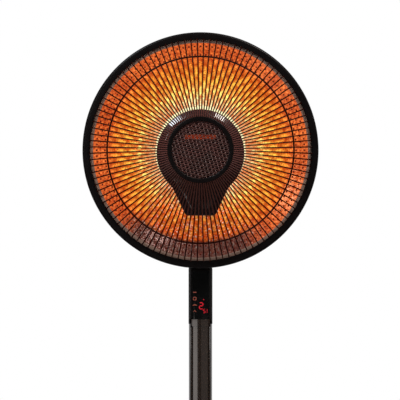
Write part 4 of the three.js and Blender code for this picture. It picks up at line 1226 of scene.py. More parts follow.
@dataclass
class Guard(Assembly):
    """The radial wire guard with its hub band and the expanded metal behind it."""

    count: int = 108
    wire: float = 2.15 * MM
    crossing_wire: float = 2.9 * MM
    hub: float = 50.5 * MM
    rim: float = 189.6 * MM
    rim_y: float = -58.6 * MM
    bulge: float = 45 * MM
    crossing: float = 158 * MM
    band: tuple[float, float] = (48.5 * MM, 56 * MM)
    mesh_y: float = -101.8 * MM
    mesh_radius: float = 53 * MM

    def build(self) -> None:
        """Builds the wires, the hub band and the mesh."""
        self.wires()
        self.hub_band()
        self.hub_mesh()

    def depth(self, radius: float) -> float:
        """The wires' place along Y at a radius, on the guard's dome."""
        share = (radius - self.hub) / (self.rim - self.hub)
        return self.rim_y - self.bulge * math.sqrt(1 - share * share)

    def wires(self) -> None:
        """Fans the wires out over the dome and adds the rings that cross them."""
        form = Form("guard_wires")
        form.sizes(wires=self.count, thickness=self.wire, hub=self.hub, rim=self.rim, bulge=self.bulge)
        radius = form.times(form.size("thickness"), 0.5)
        line = form.out("ResampleCurve", Curve=form.out("CurvePrimitiveLine", End=(1, 0, 0)), Count=26)
        share = form.out("SplineParameter")
        angle = form.times(share, math.pi / 2)
        reach = form.math("SUBTRACT", form.size("rim"), form.size("hub"))
        out = form.math("MULTIPLY_ADD", form.math("SINE", angle), reach, form.size("hub"))
        rise = form.times(form.math("COSINE", angle), form.size("bulge"))
        place = form.vector(out, form.math("SUBTRACT", self.rim_y, rise), 0)
        bent = form.out("SetPosition", Geometry=line, Position=place)
        spots = form.out("MeshLine", Count=form.size("wires"), Offset=(0, 0, 0))
        step = form.math("DIVIDE", -2 * math.pi, form.size("wires"))
        index = form.math("ADD", form.out("InputIndex"), 0.5)
        turn = form.vector(0, form.times(index, step), 0)
        wires = form.repeat(spots, form.tube(bent, radius), turn)
        behind = self.depth(self.crossing) + (self.wire + self.crossing_wire) * 0.4
        crossing = form.ring(self.crossing, behind, self.crossing_wire / 2, 216)
        rim = form.ring(form.size("rim"), self.rim_y, radius, 216)
        # the guard's finish, with its painted light and shade
        enamel = self.finishes.materials[Slot.GUARD_ENAMEL]
        whole = form.build(form.together(wires, crossing, rim), enamel, HEAD)
        self.dress(whole, Slot.GUARD_ENAMEL, ["wire_guard"])

    def hub_band(self) -> None:
        """Turns the pressed band that the wires are welded to."""
        inner, outer = self.band
        front = self.rim_y - self.bulge - self.wire
        back = self.mesh_y - 0.9 * MM
        corners = [(inner, back, 0.4 * MM), (outer, back, 0.4 * MM)]
        corners += [(outer, front, 1.6 * MM), (inner, front, 1.6 * MM)]
        band = lathe("guard_hub_band", rounded(corners), Axis.Y, HEAD, 144)
        self.dress(band, Slot.GUARD_ENAMEL, material=self.finishes.ring)

    def hub_mesh(self) -> None:
        """Fills the hub with staggered rows of small oval openings, all leaning a little."""
        form = Form("hub_expanded_metal")
        radius = self.mesh_radius - 3 * MM
        form.sizes(pitch=6.95 * MM, row=5.75 * MM, lean=-15.0, strand=0.58 * MM, radius=radius)
        side = 24
        grid = form.out("MeshGrid", Vertices_X=side, Vertices_Y=side)
        index = form.out("InputIndex")
        row = form.math("SUBTRACT", form.math("FLOOR", form.math("DIVIDE", index, side)), side / 2)
        column = form.math("SUBTRACT", form.math("MODULO", index, side), side / 2)
        odd = form.math("MODULO", form.math("ADD", row, side), 2.0)
        shift = form.times(odd, 0.5)
        x = form.times(form.math("ADD", column, shift), form.size("pitch"))
        z = form.times(row, form.size("row"))
        lattice = form.out("SetPosition", Geometry=grid, Position=form.vector(x, 0, z))
        place = form.out("InputPosition")
        length = form.node("ShaderNodeVectorMath", {0: place}, operation="LENGTH").outputs["Value"]
        far = form.node("FunctionNodeCompare", {0: length, 1: form.size("radius")}).outputs[0]
        kept = form.out("DeleteGeometry", Geometry=lattice, Selection=far)
        loop = form.out("CurvePrimitiveCircle", Resolution=12, Radius=1.0)
        turn = (math.radians(72), math.radians(-14), 0)
        oval = form.out("Transform", Geometry=loop, Scale=(3.3 * MM, 2.35 * MM, 1.0), Rotation=turn)
        square = form.out("CurvePrimitiveCircle", Resolution=4, Radius=form.size("strand"))
        slant = (0, 0, math.radians(-45))
        profile = form.out("Transform", Geometry=square, Scale=(1.0, 0.3, 1.0), Rotation=slant)
        cell = form.out("CurveToMesh", Curve=oval, Profile_Curve=profile)
        lean = form.math("RADIANS", form.times(form.size("lean"), -1.0))
        cells = form.repeat(kept, cell)
        leaned = form.out("Transform", Geometry=cells, Rotation=form.vector(0, lean, 0))
        edge = form.ring(self.mesh_radius, 0.0, 1.0 * MM, 96)
        place = (0, self.mesh_y, HEAD.z)
        whole = form.build(form.together(leaned, edge), self.finishes.mesh, place)
        self.dress(whole, Slot.GUARD_ENAMEL, ["hub_mesh"], self.finishes.mesh)


@dataclass
class Dish(Assembly):
    """The hammered reflector with its dotted flange and bare rim."""

    apex: float = 35.6 * MM
    rim_y: float = -57.4 * MM
    rim: float = 193 * MM
    flange: float = 183 * MM
    mirror: float = 157 * MM
    flange_rise: float = 6 * MM
    sheet: float = 1 * MM
    dimples: int = 54
    rows: int = 12
    inner: float = 31 * MM
    press: float = 0.34 * MM
    samples: int = 10
    seed: int = 7
    bead: tuple[float, float, float] = (182.8 * MM, 188.6 * MM, 0.2 * MM)
    dot_rows: tuple[float, ...] = (163 * MM, 170.6 * MM, 177 * MM)
    dot_step: float = 7 * MM
    dots: int = 112

    def build(self) -> None:
        """Builds the dish and its dots."""
        self.reflector()
        self.flange_dots()

    def depth(self, radius: np.ndarray) -> np.ndarray:
        """Draws the dish's front before it is hammered.

        Args:
            radius: The radius of each place.

        Returns:
            Its place along Y.
        """
        bowl = self.apex - (self.apex - self.rim_y - self.flange_rise) * (radius / self.mirror) ** 2
        climb = self.rim_y + self.flange_rise * (self.flange - radius) / (self.flange - self.mirror)
        start, end, height = self.bead
        rolled = height * np.sin(math.pi * np.clip((radius - start) / (end - start), 0, 1))
        return np.where(radius < self.mirror, bowl, np.maximum(climb, self.rim_y) - rolled)

    @property
    def pitch(self) -> float:
        """The radial spacing of the rows of dimples."""
        return (self.mirror - self.inner) / self.rows

    def radii(self) -> np.ndarray:
        """Chooses the mesh's rings, close together where the dish is hammered.

        Returns:
            Their radii.
        """
        bowl = np.linspace(self.inner, self.mirror, self.rows * (self.samples - 1) + 1)
        flange = np.linspace(self.mirror, self.bead[0], 15)[1:]
        bead = np.linspace(self.bead[0], self.bead[1], 8)[1:]
        return np.concatenate(([self.inner * 0.35, self.inner * 0.7], bowl, flange, bead, [self.rim]))

    def hammered(self, radius: np.ndarray, angle: np.ndarray) -> tuple[np.ndarray, np.ndarray]:
        """The pressed depth at each place, and the brightness of the lamp's reflection painted there.

        Args:
            radius: The radius of each place.
            angle: The angle of each place.

        Returns:
            How far the sheet is pressed back, and how far its painted glow goes from dim, 0, to hot, 1.
        """
        rows = (radius - self.inner) / self.pitch
        around = angle / (2 * math.pi) * self.dimples
        inside = (radius > self.inner) & (radius < self.mirror - 0.1 * MM)
        random = np.random.default_rng(self.seed).random((2, self.rows + 2, self.dimples))
        pressed, bright = np.zeros_like(radius), np.full_like(radius, 0.06)
        for parity in (0, 1):
            row = np.round((rows - parity) / 2)
            column = np.round(around + parity / 2)
            u, v = around + parity / 2 - column, (rows - parity) / 2 - row
            pressed += np.maximum(np.cos(math.pi * u), 0) * np.cos(math.pi * v) ** 2 * self.press
            chance = random[parity, row.astype(int) % (self.rows + 2), column.astype(int) % self.dimples]
            slant = u + (chance - 0.5) * 0.3 * v
            glow_streak = np.exp(-((slant / 0.16) ** 2) - (v / 0.4) ** 2)
            bright += glow_streak * (0.6 + 0.7 * chance)
        out = 2 * math.pi * (radius - self.dot_rows[0]) / self.dot_step
        between = np.cos(self.dots * angle) * np.cos(out)
        flange = 0.3 - 0.25 * between + 0.25 * random[0, 0, around.astype(int) % self.dimples]
        return np.where(inside, pressed, 0.0), np.where(inside, bright, flange)

    def reflector(self) -> None:
        """Builds the hammered sheet, front and back, as one closed shell."""
        radii = self.radii()
        count = self.dimples * self.samples
        angles = np.arange(count) * 2 * math.pi / count
        r, a = np.meshgrid(radii, angles, indexing="ij")
        pressed, bright = self.hammered(r, a)
        front = np.stack([r * np.cos(a), self.depth(r) + pressed, r * np.sin(a) + HEAD.z], axis=-1)
        mirror = self.mirror
        behind = np.array([self.rim, self.flange, mirror, mirror * 0.8, mirror * 0.55, self.inner])
        r, a = np.meshgrid(behind, angles, indexing="ij")
        back = np.stack([r * np.cos(a), self.depth(r) + self.sheet * 1.6, r * np.sin(a) + HEAD.z], axis=-1)
        points = np.concatenate((front.reshape(-1, 3), back.reshape(-1, 3)))
        faces = quads(len(radii) + len(behind), count, False, True)
        caps = [list(range(count)), list(range(len(points) - count, len(points)))[::-1]]
        mesh = bpy.data.meshes.new("hammered_reflector")
        mesh.from_pydata(points.tolist(), [], faces + caps)
        # the painted reflection streaks that the dish's glow reads
        glow_streak = mesh.attributes.new("glow_streak", "FLOAT", "POINT")
        glow_streak.data.foreach_set("value", np.concatenate((bright.ravel(), np.ones(len(behind) * count))))
        close_up(mesh, 24)
        dish = link("hammered_reflector", mesh)
        self.dress(dish, Slot.DISH_MIRROR, ["reflector"])
        mesh.materials.append(self.finishes.rim)
        middles = np.zeros(len(mesh.polygons) * 3)
        mesh.polygons.foreach_get("center", middles)
        middles = middles.reshape(-1, 3)
        reach = np.hypot(middles[:, 0], middles[:, 2] - HEAD.z)
        mesh.polygons.foreach_set("material_index", (reach > self.bead[0]).astype(np.int32))

    def flange_dots(self) -> None:
        """Sets three rows of small dark studs in the flange."""
        form = Form("flange_dots")
        form.sizes(dots=self.dots, radius=1.6 * MM, height=0.5 * MM)
        ball = form.out("MeshUVSphere", Segments=8, Rings=5, Radius=1.0)
        size = form.vector(form.size("radius"), form.size("height"), form.size("radius"))
        stud = form.out("Transform", Geometry=ball, Scale=size)
        rows = []
        for number, radius in enumerate(self.dot_rows):
            circle = form.out("MeshCircle", Vertices=form.size("dots"), Radius=radius)
            place = (0, float(self.depth(np.array(radius))), 0)
            turn = (math.pi / 2, math.pi / self.dots * (number % 2), 0)
            row = form.out("Transform", Geometry=circle, Rotation=turn, Translation=place)
            rows.append(form.repeat(row, stud))
        dots = form.build(form.together(*rows), self.finishes.dot, HEAD)
        self.dress(dots, Slot.DISH_MIRROR, material=self.finishes.dot)


@dataclass
class Lamp(Assembly):
    """The omega-shaped lamp: a quartz tube, a coiled filament and two ceramic caps."""

    radius: float = 50 * MM
    leg: float = 16 * MM
    fillet: float = 14 * MM
    foot: float = -97.4 * MM
    tube: float = 5 * MM
    bore: float = 3.9 * MM
    coil: float = 1.35 * MM
    coil_wire: float = 0.32 * MM
    coil_pitch: float = 2.0 * MM

    def build(self) -> None:
        """Builds the tube, the filament, the caps and the pieces that hold them."""
        self.y = Extent.of("lamp_tube").middle.y
        self.glass()
        self.filament()
        for side, name in ((-1, "lamp_cap_left"), (1, "lamp_cap_right")):
            self.cap(side, name)
        for name in ("lamp_bracket", "lamp_clip"):
            self.dress(softened(name, 0.4 * MM), Slot.STEEL, [name])
        for number in (1, 2, 3):
            node = f"shield_post_{number}"
            space = Extent.of(node)
            post = bar(space.size.x / 2, space.low.y, space.high.y - 3 * MM)
            rod = lathe(f"{node}_rod", post, Axis.Y, (space.middle.x, 0, space.middle.z), 24)
            self.dress(rod, Slot.STEEL, [node])

    def path(self, steps: int) -> np.ndarray:
        """The lamp's middle line.

        Args:
            steps: The number of stretches from foot to foot.

        Returns:
            The points, in X and Z from the head's middle.
        """
        turn = math.sqrt((self.radius + self.fillet) ** 2 - (self.leg + self.fillet) ** 2)
        bend = math.atan2(turn, self.leg + self.fillet)
        straight = -turn - self.foot
        curve = self.fillet * bend
        half = straight + curve + self.radius * (math.pi / 2 + bend)
        points = []
        for i in range(steps + 1):
            share = i / steps
            s = 2 * half * min(share, 1 - share)
            if s <= straight:
                x, z = -self.leg, self.foot + s
            elif s <= straight + curve:
                angle = (s - straight) / self.fillet
                x = -self.leg - self.fillet * (1 - math.cos(angle))
                z = -turn + self.fillet * math.sin(angle)
            else:
                angle = -math.pi + bend - (s - straight - curve) / self.radius
                x, z = self.radius * math.cos(angle), self.radius * math.sin(angle)
            points.append((-x if share > 0.5 else x, z))
        return np.array(points)

    def rings(self, radius: float, steps: int, sides: int) -> list[np.ndarray]:
        """Draws a tube along the lamp's middle line.

        Args:
            radius: The tube's radius.
            steps: The number of its stretches.
            sides: The number of its sides.

        Returns:
            The tube's rings.
        """
        path = self.path(steps)
        along = unit(np.gradient(path, axis=0))
        turns = np.arange(sides) * 2 * math.pi / sides
        rings = []
        for (x, z), (tx, tz) in zip(path, along):
            out = radius * np.cos(turns)
            y = self.y + radius * np.sin(turns)
            rings.append(np.stack([x - tz * out, y, z + HEAD.z + tx * out], axis=-1))
        return rings

    def glass(self) -> None:
        """Builds the quartz tube with its bore."""
        outer = self.rings(self.tube, 140, 20)
        inner = self.rings(self.bore, 140, 20)
        glass = loft("quartz_tube", outer + inner[::-1], closed=True)
        self.dress(glass, Slot.QUARTZ, ["lamp_tube"])

    def filament(self) -> None:
        """Winds the glowing filament along the tube."""
        path = self.path(2400)
        along = unit(np.gradient(path, axis=0))
        length = np.concatenate(([0], np.cumsum(np.linalg.norm(np.diff(path, axis=0), axis=1))))
        turn = 2 * math.pi * length / self.coil_pitch
        out = self.coil * np.cos(turn)
        x = path[:, 0] - along[:, 1] * out
        z = path[:, 1] + along[:, 0] * out + HEAD.z
        helix = np.stack([x, self.y + self.coil * np.sin(turn), z], axis=-1)
        ahead = unit(np.gradient(helix, axis=0))
        side = unit(np.cross(ahead, (0.0, 1.0, 0.02)))
        up = np.cross(side, ahead)
        rings = []
        for i in range(4):
            angle = i * math.pi / 2
            rings.append(helix + self.coil_wire * (side * math.cos(angle) + up * math.sin(angle)))
        wire = loft("coiled_filament", np.stack(rings, axis=1))
        self.dress(wire, Slot.FILAMENT, ["lamp_filament"])

    def cap(self, side: int, node: str) -> None:
        """Turns one ceramic cap, with a groove round it.

        Args:
            side: The side that it is on, left (-1) or right (1).
            node: The CAD node that it stands for.
        """
        space = Extent.of(node)
        radius, low, high = space.size.x / 2, space.low.z, space.high.z
        neck = radius - 0.8 * MM
        groove = ((radius, 4 * MM), (neck, 4.4 * MM), (neck, 5.6 * MM), (radius, 6 * MM))
        mouth = self.tube + GAP
        corners = [(0, low, 0), (radius, low, 1 * MM)]
        corners += [(reach, low + up, 0.3 * MM) for reach, up in groove]
        corners += [(radius, high, 0.8 * MM), (mouth, high, 0.4 * MM)]
        corners += [(mouth, high - 8 * MM, 0), (0, high - 8 * MM, 0)]
        place = (side * self.leg, self.y, 0)
        cap = lathe(f"{node}_turned", rounded(corners, steps=3), Axis.Z, place, 48)
        self.dress(cap, Slot.CERAMIC, [node])


@dataclass
class Shield(Assembly):
    """The pressed keyhole tray in front of the lamp."""

    radius: float = 75 * MM
    drop: float = 4.7 * MM
    reach: float = 111.4 * MM
    neck: float = 25.5 * MM
    sheet: float = 1.2 * MM
    border: float = 9.5 * MM
    slope: float = 0.49
    edge: float = 1.0 * MM
    slot: tuple[float, float, float] = (53 * MM, 7.6 * MM, 23 * MM)

    def outline(self, inset: float) -> Line:
        """The keyhole, taken in by an inset, in X and Z from the head's middle.

        Args:
            inset: How far it is taken in.

        Returns:
            The outline, anticlockwise from the middle of its foot.
        """
        radius, foot, neck = self.radius - inset, inset - self.reach, self.neck - inset
        joint = math.radians(-50)
        bend = joint + 0.12
        meet, start = arc(0, -self.drop, radius, (joint, bend))
        soft = 0.25
        side = (meet[0] + (neck - meet[0]) * soft, meet[1] + (foot - meet[1]) * soft)
        right = [(0.0, foot), (neck - 5 * MM, foot)]
        right += bow((neck - 5 * MM, foot), (neck, foot), (neck + 2 * MM, foot + 5 * MM), 5)[1:]
        right += bow(side, meet, start, 6)
        right += arc(0, -self.drop, radius, [bend + (math.pi / 2 - bend) * i / 40 for i in range(1, 40)])
        left = [(-x, z) for x, z in reversed(right[1:])]
        return right + [(0.0, radius - self.drop)] + left

    def build(self) -> None:
        """Lofts the tray's sloping border, cuts its slot and puts it in place."""
        space = Extent.of("lamp_shield")
        front, back = space.low.y, space.high.y

        def ring(inset: float, y: float) -> Ring:
            """The outline at an inset and a depth."""
            return upright([(x, z + HEAD.z) for x, z in self.outline(inset)], y)

        wide, drop = self.border + self.edge, self.border * self.slope + self.edge * 0.5
        rings = [ring(self.sheet + wide, front + self.sheet), ring(self.sheet, front + self.sheet + drop)]
        rings += [ring(self.sheet, back), ring(0, back), ring(0, front + drop + self.edge * 0.5)]
        rings += [ring(self.edge * 0.3, front + drop), ring(self.edge, front + self.border * self.slope)]
        for share in (0.94, 0.6, 0.25, 0.08, -0.08):
            inset = self.edge + self.border * (1 - share)
            rings.append(ring(inset, front + max(0.0, share) * self.border * self.slope))
        tray = loft("shield_tray", rings)
        width, height, rise = self.slot
        outline = oblong(-width / 2, width / 2, rise - height / 2, rise + height / 2, 2 * MM)
        outline = [(x, z + HEAD.z) for x, z in outline]
        cutter = loft("slot", [upright(outline, front - 5 * MM), upright(outline, front + 5 * MM)])
        combine(tray, Joining.CUT, [cutter])
        self.dress(tray, Slot.SHIELD_ENAMEL, ["lamp_shield"])


@dataclass
class RearShell(Assembly):
    """The moulded shell behind the dish, with its pod, vents, hinge lug and handle."""

    wall: float = 2.2 * MM
    pod: float = 76 * MM
    rim: float = 197 * MM
    back: float = 61.6 * MM
    crown: float = 59.6 * MM  # where the dome's own curve would cross its axis
    fall: float = 93 * MM
    flange: float = 183 * MM
    vents: int = 9

    def depth(self, radius: float) -> float:
        """The place along Y of the shell's outside at a radius."""
        return self.crown - self.fall * (radius / self.flange) ** 2

    def build(self) -> None:
        """Turns the shell, joins the lug, and cuts the hollow, the hinge's bore and the vents."""
        rim_y = Extent.of("rear_shell").low.y
        corners = [(0, self.back, 0), (self.pod - 3 * MM, self.back, 9 * MM)]
        corners += [(self.pod + 4 * MM, self.depth(self.pod + 4 * MM) + 1 * MM, 5 * MM)]
        corners += [(r * MM, self.depth(r * MM), 8 * MM) for r in (96, 112, 128, 144, 160, 174)]
        corners += [(188 * MM, -16 * MM, 6 * MM), (self.rim, -26 * MM, 4 * MM), (self.rim, rim_y, 0)]
        outside = rounded(corners, closed=False, steps=4)
        inside = beside(outside, -self.wall)
        mouth = self.flange + 3 * MM
        inside[-1] = (inside[-1][0], rim_y + self.wall)
        lip = [(mouth, rim_y), (mouth, rim_y + self.wall)]
        hollow = inside[::-1]
        shell = lathe("shell", outside + lip + hollow, Axis.Y, HEAD, 160)
        lug = self.lug()
        ahead = rim_y - 1 * MM
        cavity = [(0, ahead), (mouth - 1 * MM, ahead)] + hollow
        cutter = lathe("hollow", cavity, Axis.Y, HEAD, 80)
        combine(lug, Joining.CUT, [cutter])
        combine(shell, Joining.JOIN, [lug])
        combine(shell, Joining.CUT, self.slots())
        shell.name = "rear_shell_moulding"
        self.dress(shell, Slot.BLACK_PLASTIC, ["rear_shell"])
        self.handle()

    def lug(self) -> Object:
        """Makes the hinge lug under the shell, with its bore.

        Returns:
            The lug.
        """
        bolt = Extent.of("tilt_bolt").middle
        y, z, radius = bolt.y, bolt.z, 11 * MM
        outline = arc(y, z, radius, np.linspace(-math.pi / 2, 1.1, 14))
        outline += [(y - 4 * MM, z + 3 * radius), (y - 32 * MM, z + 3 * radius), (y - 32 * MM, z - 3 * MM)]
        half = 8.5 * MM
        lug = loft("lug", [[(x, v, w) for v, w in outline] for x in (-half, half)])
        bore = lathe("bore", bar(4.3 * MM, -30 * MM, 30 * MM), Axis.X, (0, y, z), 32)
        return combine(lug, Joining.CUT, [bore])

    def slots(self) -> list[Object]:
        """Makes the forms that cut the vents: upright ones in the pod and a fan of them above it.

        Returns:
            The forms.
        """
        half = 1.8 * MM
        tools = []
        for i in range(self.vents):
            x = (i - self.vents // 2) * 11 * MM
            low, high = HEAD.z - 52 * MM, HEAD.z - 16 * MM
            outline = oblong(x - half, x + half, low, high, half * 0.98, 4)
            tools.append(loft("slot", [upright(outline, y) for y in (40 * MM, 80 * MM)]))
        for i in range(self.vents):
            outline = oblong(-half, half, 104 * MM, 140 * MM, half * 0.98, 4)
            angle = math.radians(9 * (i - self.vents // 2))
            slot = loft("slot", [upright(outline, y) for y in (-5 * MM, 70 * MM)])
            slot.data.transform(Matrix.Translation(HEAD) @ Matrix.Rotation(angle, 4, "Y"))
            tools.append(slot)
        return tools

    def handle(self) -> None:
        """Bends the grip's bowed bar on its two feet."""
        space = Extent.of("rear_handle")
        y = space.low.y
        outline = [(-50 * MM, y), (-34 * MM, y), (-31 * MM, y + 18 * MM)]
        outline += bow((-31 * MM, y + 18 * MM), (0, y + 25 * MM), (31 * MM, y + 18 * MM), 16)[1:]
        outline += [(34 * MM, y), (50 * MM, y), (44 * MM, y + 22 * MM)]
        outline += bow((44 * MM, y + 22 * MM), (0, y + 41 * MM), (-44 * MM, y + 22 * MM), 20)[1:-1]
        outline += [(-44 * MM, y + 22 * MM)]
        place = Matrix.Translation((0, 0, space.middle.z))
        grip = plate("handle_grip", [outline], space.size.z, 3 * MM, place)
        self.dress(grip, Slot.BLACK_PLASTIC, ["rear_handle"])


# ---- the column


@dataclass
class Column(Assembly):
    """The control housing, its window and display, the poles, and the tilt hinge."""

    body = Body.COLUMN
    corner: float = 11 * MM
    shoulder: float = 6 * MM
    wall: float = 2.4 * MM
    tongue: float = 16.4 * MM
    tongue_back: float = -13 * MM
    through: tuple[float, float] = (-60 * MM, -8 * MM)  # the depths that span the housing's front
    window_sheet: float = 1.7 * MM
    brow: float = 3.5 * MM  # how far the window carries on up into the shoulder's curve
    foot_height: float = 12.4 * MM  # the tongue's stretch below the dark window
    foot_half: float = 16.2 * MM
    foot_bow: float = 1.8 * MM
    foot_back: float = -17.3 * MM
    pole_corner: float = 10 * MM
    pole_wall: float = 1.5 * MM
    groove: float = 1.2 * MM
    groove_at: float = 13.2 * MM
    legend_x: float = -9.8  # where the column of legends stands, in mm

    def build(self) -> None:
        """Builds every piece of the column."""
        rear = Extent.of("housing_rear")
        self.top, self.sides, self.half = rear.high.z, rear.low.z, rear.high.xy
        self.bottom = Extent.of("housing_front").low.z
        self.housing()
        self.glass()
        self.tongue_foot()
        self.display()
        self.pole("lower_pole")
        self.pole("upper_pole")
        self.switch()
        self.hinge()
        self.screws()

    def section(self, inset: float) -> Line:
        """The housing's outline, taken in by an inset."""
        x, y = self.half.x - inset, self.half.y - inset
        return oblong(-x, x, -y, y, max(self.corner - inset, 1 * MM), 8)

    def form(self, name: str, inset: float, low: float) -> Object:
        """The housing's solid form with its rounded shoulder.

        Args:
            name: The object's name.
            inset: How far all its faces are taken in.
            low: The height of its foot.

        Returns:
            The form.
        """
        rings = [level(self.section(inset), low)]
        for i in range(7):
            angle = math.pi / 2 * i / 6
            step = self.shoulder * (1 - math.cos(angle))
            z = self.top - inset - self.shoulder * (1 - math.sin(angle))
            rings.append(level(self.section(inset + step), z))
        return loft(name, rings)

    def housing(self) -> None:
        """Builds the two halves of the housing, with a recess for the window."""
        body = self.form("housing", 0, self.bottom)
        far = 0.1
        sides = [
            block("back", (-far, self.tongue_back, 0), (far, far, self.sides)),
            block("right", (self.tongue, -far, 0), (far, far, self.sides)),
            block("left", (-far, -far, 0), (-self.tongue, far, self.sides)),
        ]
        combine(body, Joining.CUT, [self.form("hollow", self.wall, self.bottom - 10 * MM), *sides])
        rear = link("housing_rear_moulding", body.data.copy())
        fit = 0.15 * MM
        recess = self.prism("recess", fit)
        depth = self.form("depth", self.window_sheet + fit, self.bottom - 10 * MM)
        combine(recess, Joining.CUT, [depth])
        foot_top = self.bottom + self.foot_height + GAP
        foot = block("foot", (-far, -far, 0), (far, self.foot_back + 0.1 * MM, foot_top))
        combine(body, Joining.CUT, [block("rear", (-far, -0.1 * MM, 0), (far, far, 1)), recess, foot])
        space = Extent.of("rocker_frame")
        low, high = space.low.z + 1.1 * MM, space.high.z - 1.1 * MM
        hole = block("hole", (-6.5 * MM, 5 * MM, low), (6.5 * MM, far, high))
        combine(rear, Joining.CUT, [block("front", (-far, -far, 0), (far, 0.1 * MM, 1)), hole])
        body.name = "housing_front_moulding"
        for half, node in ((body, "housing_front"), (rear, "housing_rear")):
            soften(half, 0.35 * MM, 2, 14)
            self.dress(half, Slot.BLACK_PLASTIC, [node], self.finishes.housing)

    def prism(self, name: str, grow: float) -> Object:
        """Pushes the window's outline through the housing's front.

        Args:
            name: The object's name.
            grow: How far its sides stand out past the window's.

        Returns:
            The form.
        """
        space = Extent.of("display_window")
        low = self.bottom + self.foot_height + GAP
        high = space.high.z + self.brow + grow
        outline = oblong(space.low.x - grow, space.high.x + grow, low - grow, high, 3 * MM)
        return loft(name, [upright(outline, y) for y in self.through])

    def tongue_foot(self) -> None:
        """Draws the bowed foot of the tongue, which carries on the pole's front strip."""
        half, y = self.foot_half, -self.half.y
        front = bow((-half, y + self.foot_bow), (0, y - self.foot_bow), (half, y + self.foot_bow), 16)
        outline = [*front, (half, self.foot_back), (-half, self.foot_back)]
        low, high = self.bottom, self.bottom + self.foot_height
        foot = loft("tongue_foot", [level(outline, low), level(outline, high)])
        face = oblong(-half, half, low, low + 0.1, 5 * MM)
        combine(foot, Joining.KEEP, [loft("outline", [upright(face, y) for y in self.through])], 22)
        self.dress(foot, Slot.POLE_METAL)

    def glass(self) -> None:
        """Cuts the glossy window out of the housing's own form."""
        window = self.prism("window_panel", 0)
        combine(window, Joining.KEEP, [self.form("front", 0, self.bottom - 5 * MM)])
        combine(window, Joining.CUT, [self.form("back", self.window_sheet, self.bottom - 10 * MM)])
        soften(window, 0.4 * MM, 3, 14)
        self.dress(window, Slot.WINDOW_GLOSS, ["display_window"])

    def front(self, x: float) -> float:
        """Finds the window's face.

        Args:
            x: The distance from its middle.

        Returns:
            The face's place along Y.
        """
        flat = self.half.x - self.corner
        past = max(0.0, abs(x) - flat)
        return -self.half.y + self.corner - math.sqrt(self.corner**2 - past**2)

    def mark(self, outlines: Sequence[Line], name: str, material: Material) -> None:
        """Lays thin marks on the window's face.

        Args:
            outlines: Their outlines, in X and Z.
            name: The piece's name.
            material: What they shine with.
        """
        points, faces = [], []
        for outline in outlines:
            start, count = len(points), len(outline)
            for lift in (0.12 * MM, -0.1 * MM):
                points += [(x, self.front(x) - lift, z) for x, z in outline]
            faces.append(tuple(start + i for i in range(count)))
            faces.append(tuple(start + count + i for i in reversed(range(count))))
            for i in range(count):
                j = (i + 1) % count
                faces.append((start + i, start + count + i, start + count + j, start + j))
        marks = make(name, points, faces)
        self.dress(marks, Slot.DIGITS, material=material)

    def digit(self, value: int, x: float, z: float, width: float, height: float) -> list[Line]:
        """The lit bars of one seven-segment digit.

        Args:
            value: The digit: 1, 2 or 5.
            x: The place of its left edge.
            z: The place of its foot.
            width: Its width.
            height: Its height.

        Returns:
            The bars' outlines.
        """
        lit = {1: "bc", 2: "abged", 5: "afgcd"}[value]
        half = height / 2
        ends = {
            "a": ((0, height), (width, height)),
            "b": ((width, height), (width, half)),
            "c": ((width, half), (width, 0)),
            "d": ((0, 0), (width, 0)),
            "e": ((0, half), (0, 0)),
            "f": ((0, height), (0, half)),
            "g": ((0, half), (width, half)),
        }
        thick = min(width, half) * 0.17
        bars = []
        for name in lit:
            (x0, z0), (x1, z1) = ends[name]
            along = Vector((x1 - x0, z1 - z0)).normalized()
            across = Vector((-along.y, along.x)) * thick
            start = Vector((x + x0, z + z0)) + along * thick * 0.6
            end = Vector((x + x1, z + z1)) - along * thick * 0.6
            tip = along * thick
            corners = [start - tip * 0.3, start + tip * 0.7 - across, end - tip * 0.7 - across]
            corners += [end + tip * 0.3, end - tip * 0.7 + across, start + tip * 0.7 + across]
            bars.append([tuple(corner) for corner in corners])
        return bars

    def legend(self, outline: Line, drop: float) -> Line:
        """Puts a legend's outline on the window, both it and its drop from the top given in mm."""
        return [((x + self.legend_x) * MM, z * MM + self.top - drop * MM) for x, z in outline]

    def display(self) -> None:
        """Lays the lit digits and the dim legends on the window."""
        zero = self.top
        digits = self.digit(2, -1.9 * MM, zero - 73.6 * MM, 6.0 * MM, 10.6 * MM)
        digits += self.digit(5, 4.6 * MM, zero - 80.4 * MM, 3.4 * MM, 6.4 * MM)
        digits += self.digit(1, 8.8 * MM, zero - 80.4 * MM, 2.6 * MM, 6.4 * MM)
        digits.append(oblong(4.7 * MM, 6.2 * MM, zero - 58.4 * MM, zero - 56.8 * MM, 0.7 * MM, 4))
        self.mark(digits, "display_digits", self.finishes.materials[Slot.DIGITS])
        legends = [oblong(-12.6 * MM, -7 * MM, zero - 45.9 * MM, zero - 44.1 * MM, 0.7 * MM, 3)]
        for i in range(20):
            if i % 5 == 4:
                continue
            turns = [2 * math.pi * (i + k) / 20 for k in (0, 1)]
            reach = (3.4, 3.4, 1.8, 1.8)
            dash = [(r * math.cos(a), r * math.sin(a)) for r, a in zip(reach, turns + turns[::-1])]
            legends.append(self.legend(dash, 55.9))
        crescent = [(3.7 * math.cos(a), 3.0 * math.sin(a) - 1) for a in np.linspace(0.2, math.pi - 0.2, 9)]
        crescent += [(2.7 * math.cos(a), 0.9 * math.sin(a) - 1) for a in np.linspace(math.pi - 0.3, 0.3, 9)]
        legends.append(self.legend(crescent, 67.5))
        legends.append(self.legend([(-3, 0), (3, 0), (0, 3.4)], 78.7))
        self.mark(legends, "display_legends", self.finishes.legend)

